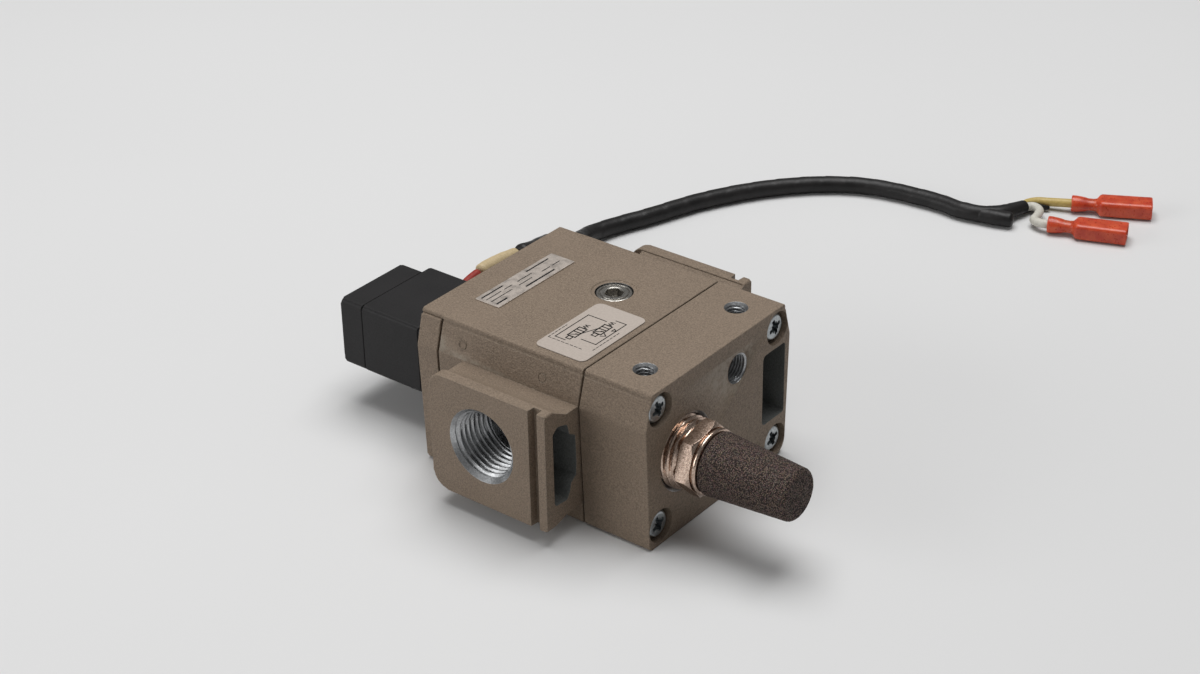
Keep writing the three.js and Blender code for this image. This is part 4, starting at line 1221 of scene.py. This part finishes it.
def draw_plate_bars():
    """Plain bars where a plate carries its rows of print."""
    ink = Ink("plate_print", "nameplate")
    low, high = ink.low, ink.high
    rows = [
        (0.16, [(0.04, 0.3), (0.62, 0.9)], 0.5),
        (0.36, [(0.04, 0.22), (0.27, 0.36), (0.44, 0.62)], 0.3),
        (0.56, [(0.04, 0.3), (0.4, 0.56), (0.7, 0.8), (0.84, 0.93)], 0.3),
        (0.8, [(0.04, 0.16), (0.42, 0.78)], 0.6),
    ]
    for height, spans, width in rows:
        x = low.x + (high.x - low.x) * height
        for start, end in spans:
            y0, y1 = (low.y + (high.y - low.y) * share for share in (start, end))
            ink.stroke(x, y0, x, y1, width)
    ink.settle()


draw_labels()


# ------------------------------------------------------------------ pilot solenoid
def rounded_box(name, node, look, corner, rounding):
    low, high = cad_box(node)
    outline = rectangle(low.y, low.z, high.y, high.z, corner)
    return prism(name, outline, "x", low.x, high.x, look, rounding, rounding)


def draw_solenoid():
    axis = cad_middle("coil_winding")
    screws = [cad_middle(f"solenoid_screw_{k}").yz for k in (1, 2)]
    button = cad_middle("override_button")

    def hole(axis_name, across, up, start, end, radius, segments=64):
        return plug(axis_name, across, up, start, end, radius, None, "solenoid_plastic", segments)

    def tunnels(start, end):
        return [hole("x", y, z, start, end, 1.7, 32) for y, z in screws]

    pilot = rounded_box("pilot_body", "pilot_valve_body", "solenoid_plastic", 1.0, 0.3)
    cut(pilot, [
        hole("x", axis.y, axis.z, -11, -4, 4.6),
        hole("x", axis.y, axis.z, -5, 1, 1),
        hole("y", button.x, button.z, axis.y, cad_box("pilot_valve_body")[1].y + 1, 2.4),
        *tunnels(-11, 1),
    ])
    settle(pilot, ["pilot_valve_body"])

    housing = rounded_box("coil_case", "coil_housing", "solenoid_plastic", 1.2, 0.35)
    low, high = cad_box("coil_housing")
    grommet = cad_middle("lead_grommet")
    cut(housing, [
        hole("x", axis.y, axis.z, low.x - 1, high.x + 1, 8.9),
        hole("y", grommet.x, grommet.z, high.y - 5, high.y + 1, 2.9),
        *tunnels(low.x - 1, high.x + 1),
    ])
    settle(housing, ["coil_housing"])

    low, high = cad_box("solenoid_cap")
    inset = 0.9
    whole = rectangle(low.y, low.z, high.y, high.z, 1.4)
    smaller = rectangle(low.y + inset, low.z + inset, high.y - inset, high.z - inset, 1.4)
    cap = prism("coil_end_cap", whole, "x", low.x + 1, high.x, "solenoid_plastic", 0.5, 0.25)
    step = prism("step", smaller, "x", low.x, low.x + 1.3, "solenoid_plastic", 0.4)
    joined(cap, [step])
    recesses = [hole("x", y, z, low.x - 1, low.x + 2.4, 2.5) for y, z in screws]
    cut(cap, [*tunnels(low.x - 1, high.x + 1), *recesses])
    settle(cap, ["solenoid_cap"])

    low, high = cad_box("override_button")
    x, z = button.x, button.z
    press = turned("override_push", [
        (0, low.y, 0), (2.2, low.y, 0.1), (2.2, high.y, 0.3), (0, high.y, 0),
    ], "y", x, z, "button_plastic", 4, 64)
    driver_slot = box(x - 1.6, x + 1.6, high.y - 0.4, high.y + 1, z - 0.3, z + 0.3, "button_plastic")
    settle(cut(press, [driver_slot]), ["override_button"])

    low, high = cad_box("lead_grommet")
    collar = lathe("lead_bush", filleted([
        (1.7, low.y, 0), (2.6, low.y, 0.1), (2.5, high.y - 1.1, 0), (2.5, high.y - 0.4, 0.3),
        (2.1, high.y, 0.3), (1.7, high.y, 0.1), (1.7, low.y, 0),
    ], 4, closed=False)[:-1], "y", grommet.x, grommet.z, "seal_rubber", 64, closed=True)
    settle(collar, ["lead_grommet"])


draw_solenoid()


def coil_spring(name, node, radius, wire, turns):
    """A coil spring along X that fills its CAD node, wound in so many turns of round wire."""
    low, high = cad_box(node)
    middle = cad_middle(node)
    per_turn = 28
    route = []
    for k in range(turns * per_turn + 1):
        angle = 2 * pi * k / per_turn
        along = low.x + wire + (high.x - low.x - 2 * wire) * k / (turns * per_turn)
        y, z = middle.y + radius * cos(angle), middle.z + radius * sin(angle)
        route.append(Vector((along, y, z)))
    made = sweep(name, route, lambda walked, angle: wire, "steel", 12, round_ends=False)
    settle(made, [node], 40)
    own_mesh(made)


def turned_part(name, node, look, corners, across=0.0, up=AXIS_Z, closed=False):
    made = lathe(name, filleted(corners, 3, closed=closed), "x", across, up, look, 96, closed=closed)
    settle(made, [node])


def bar(name, node, look, radius, middle):
    """A plain round bar along X, as long as its CAD node."""
    low, high = cad_box(node)
    turned_part(name, node, look, [
        (0, low.x, 0), (radius, low.x, 0.3), (radius, high.x, 0.3), (0, high.x, 0),
    ], middle.y, middle.z)


def draw_inside():
    guide_r = 13.2
    groove_r = guide_r - 1.4
    start, end = 32.7, 36.2
    turned_part("guide_ring", "valve_guide", "brass", [
        (7.5, start, 0.2), (guide_r, start, 0.2), (guide_r, start + 0.9, 0), (groove_r, start + 0.9, 0),
        (groove_r, end - 0.9, 0), (guide_r, end - 0.9, 0), (guide_r, end, 0.2), (7.5, end, 0.2),
    ], closed=True)
    seal = ring("guide_seal", "x", 0, AXIS_Z, (start + end) / 2, guide_r - 0.7, 0.5, "seal_rubber")
    settle(seal, ["guide_o_ring"])
    turned_part("bush_sleeve", "shaft_bush", "brass", [
        (3.2, 19.3, 0.1), (4.2, 19.3, 0.2), (4.2, 23.7, 0.2), (3.2, 23.7, 0.1),
    ], closed=True)
    turned_part("valve_spindle", "main_shaft", "steel", [
        (0, 15.6, 0), (3, 15.6, 0.3), (3, 61.5, 0), (5.4, 61.5, 0.2), (5.4, 62.7, 0.2), (2.4, 62.7, 0),
        (2.4, 67, 0.4), (0, 67, 0),
    ])
    turned_part("piston_head", "pilot_piston", "piston_aluminium", [
        (0, 8.6, 0), (15.6, 8.6, 0.7), (15.6, 10.6, 0), (14, 10.6, 0), (14, 12.8, 0), (15.6, 12.8, 0),
        (15.6, 15.2, 0.7), (0, 15.2, 0),
    ])
    piston_ring = ring("piston_ring", "x", 0, AXIS_Z, 11.7, 15.05, 0.6, "seal_rubber")
    settle(piston_ring, ["piston_seal"])
    for name, node, first, last, outer in (
        ("supply_poppet", "main_poppet", 36.5, 40.5, 9.6),
        ("vent_poppet", "exhaust_poppet", 53, 56.9, 9.8),
    ):
        turned_part(name, node, "brass", [
            (3.15, first, 0), (outer, first, 0.2), (outer, last, 0.8), (3.15, last, 0),
        ], closed=True)
    coil_spring("shaft_spring", "return_spring", 4.3, 0.55, 5)
    coil_spring("check_coil", "check_spring", 2.5, 0.3, 5)
    coil_spring("plunger_coil", "plunger_spring", 1.7, 0.25, 5)
    ball = cad_middle("check_ball")
    ball_r = 3.1
    half_turn = [pi * k / 24 for k in range(25)]
    arc = [(ball_r * sin(a), ball.x - ball_r * cos(a)) for a in half_turn]
    sphere = lathe("check_sphere", arc, "x", ball.y, ball.z, "steel", 48)
    settle(sphere, ["check_ball"], 60)
    bar("check_screw", "check_plug", "brass", 3.3, ball)

    coil = cad_middle("coil_winding")
    low, high = cad_box("coil_winding")
    rows = 32
    length = high.x - low.x
    strands = [(8.6 - 0.12 * (k % 2), low.x + length * (k / rows)) for k in range(rows + 1)]
    profile = [(5, low.x), *strands, (5, high.x)]
    winding = lathe("copper_winding", profile, "x", coil.y, coil.z, "winding_copper", 96, True)
    settle(winding, ["coil_winding"])
    low, high = cad_box("core_tube")
    turned_part("armature_tube", "core_tube", "brass", [
        (4.3, low.x, 0.1), (4.75, low.x, 0.1), (4.75, high.x, 0.1), (4.3, high.x, 0.1),
    ], coil.y, coil.z, closed=True)
    bar("pole_piece", "fixed_core", "steel", 4, coil)
    turned_part("armature", "plunger", "steel", [
        (0, -4.3, 0), (2, -4.3, 0.2), (2, -6.4, 0), (4, -9, 0.3), (4, -22.4, 0.2), (2.3, -22.4, 0.1),
        (2.3, -17.5, 0), (0, -17.5, 0),
    ], coil.y, coil.z)


draw_inside()

for name in ("front_gasket", "rear_gasket"):
    frame["nodes"][name].data.materials.clear()
    frame["nodes"][name].data.materials.append(LOOKS["gasket_rubber"])


# ------------------------------------------------------------------ floor and light
FLOOR_REACH = 6
FLOOR_GREYS = (0.64, 0.665)
SKY_STRENGTH = 0.18
# place, point aimed at, size and power
SOFTBOXES = {
    "key": ((-0.7, -1.05, 0.42), (0, 0, 0.03), (1.0, 0.75), 6.5),
    "overhead": ((-0.1, 0.2, 1.3), (0, 0, 0), (1.0, 1.0), 17.5),
}


def add_floor():
    bm = bmesh.new()
    r = FLOOR_REACH
    corners = [bm.verts.new((x, y, 0)) for x, y in ((-r, -r), (r, -r), (r, r), (-r, r))]
    bm.faces.new(corners)
    mesh = bpy.data.meshes.new("floor")
    bm.to_mesh(mesh)
    bm.free()
    look = Look("floor")
    cloud = look.noise(400, 2)
    look.set(
        Base_Color=look.mix(look.between(cloud, 0.3, 0.7), *[rgb(g, g, g) for g in FLOOR_GREYS]),
        Roughness=0.9,
        Specular_IOR_Level=0.1,
    )
    mesh.materials.append(look.material)
    linked("floor", mesh)


def add_softbox(name, place, target, size, power):
    data = bpy.data.lights.new(name, "AREA")
    data.shape = "RECTANGLE"
    data.size, data.size_y = size
    data.energy = power
    lamp = linked(name, data)
    lamp.location = place
    lamp.rotation_euler = (Vector(target) - Vector(place)).to_track_quat("-Z", "Y").to_euler()


def add_lights():
    world = bpy.data.worlds.new("studio")
    bpy.context.scene.world = world
    world.use_nodes = True
    sky = world.node_tree.nodes["Background"]
    sky.inputs["Color"].default_value = rgb(1, 1, 1)
    sky.inputs["Strength"].default_value = SKY_STRENGTH
    for name, (place, target, size, power) in SOFTBOXES.items():
        add_softbox(name, place, target, size, power)


add_floor()
add_lights()
bpy.context.scene.view_settings.view_transform = "Standard"
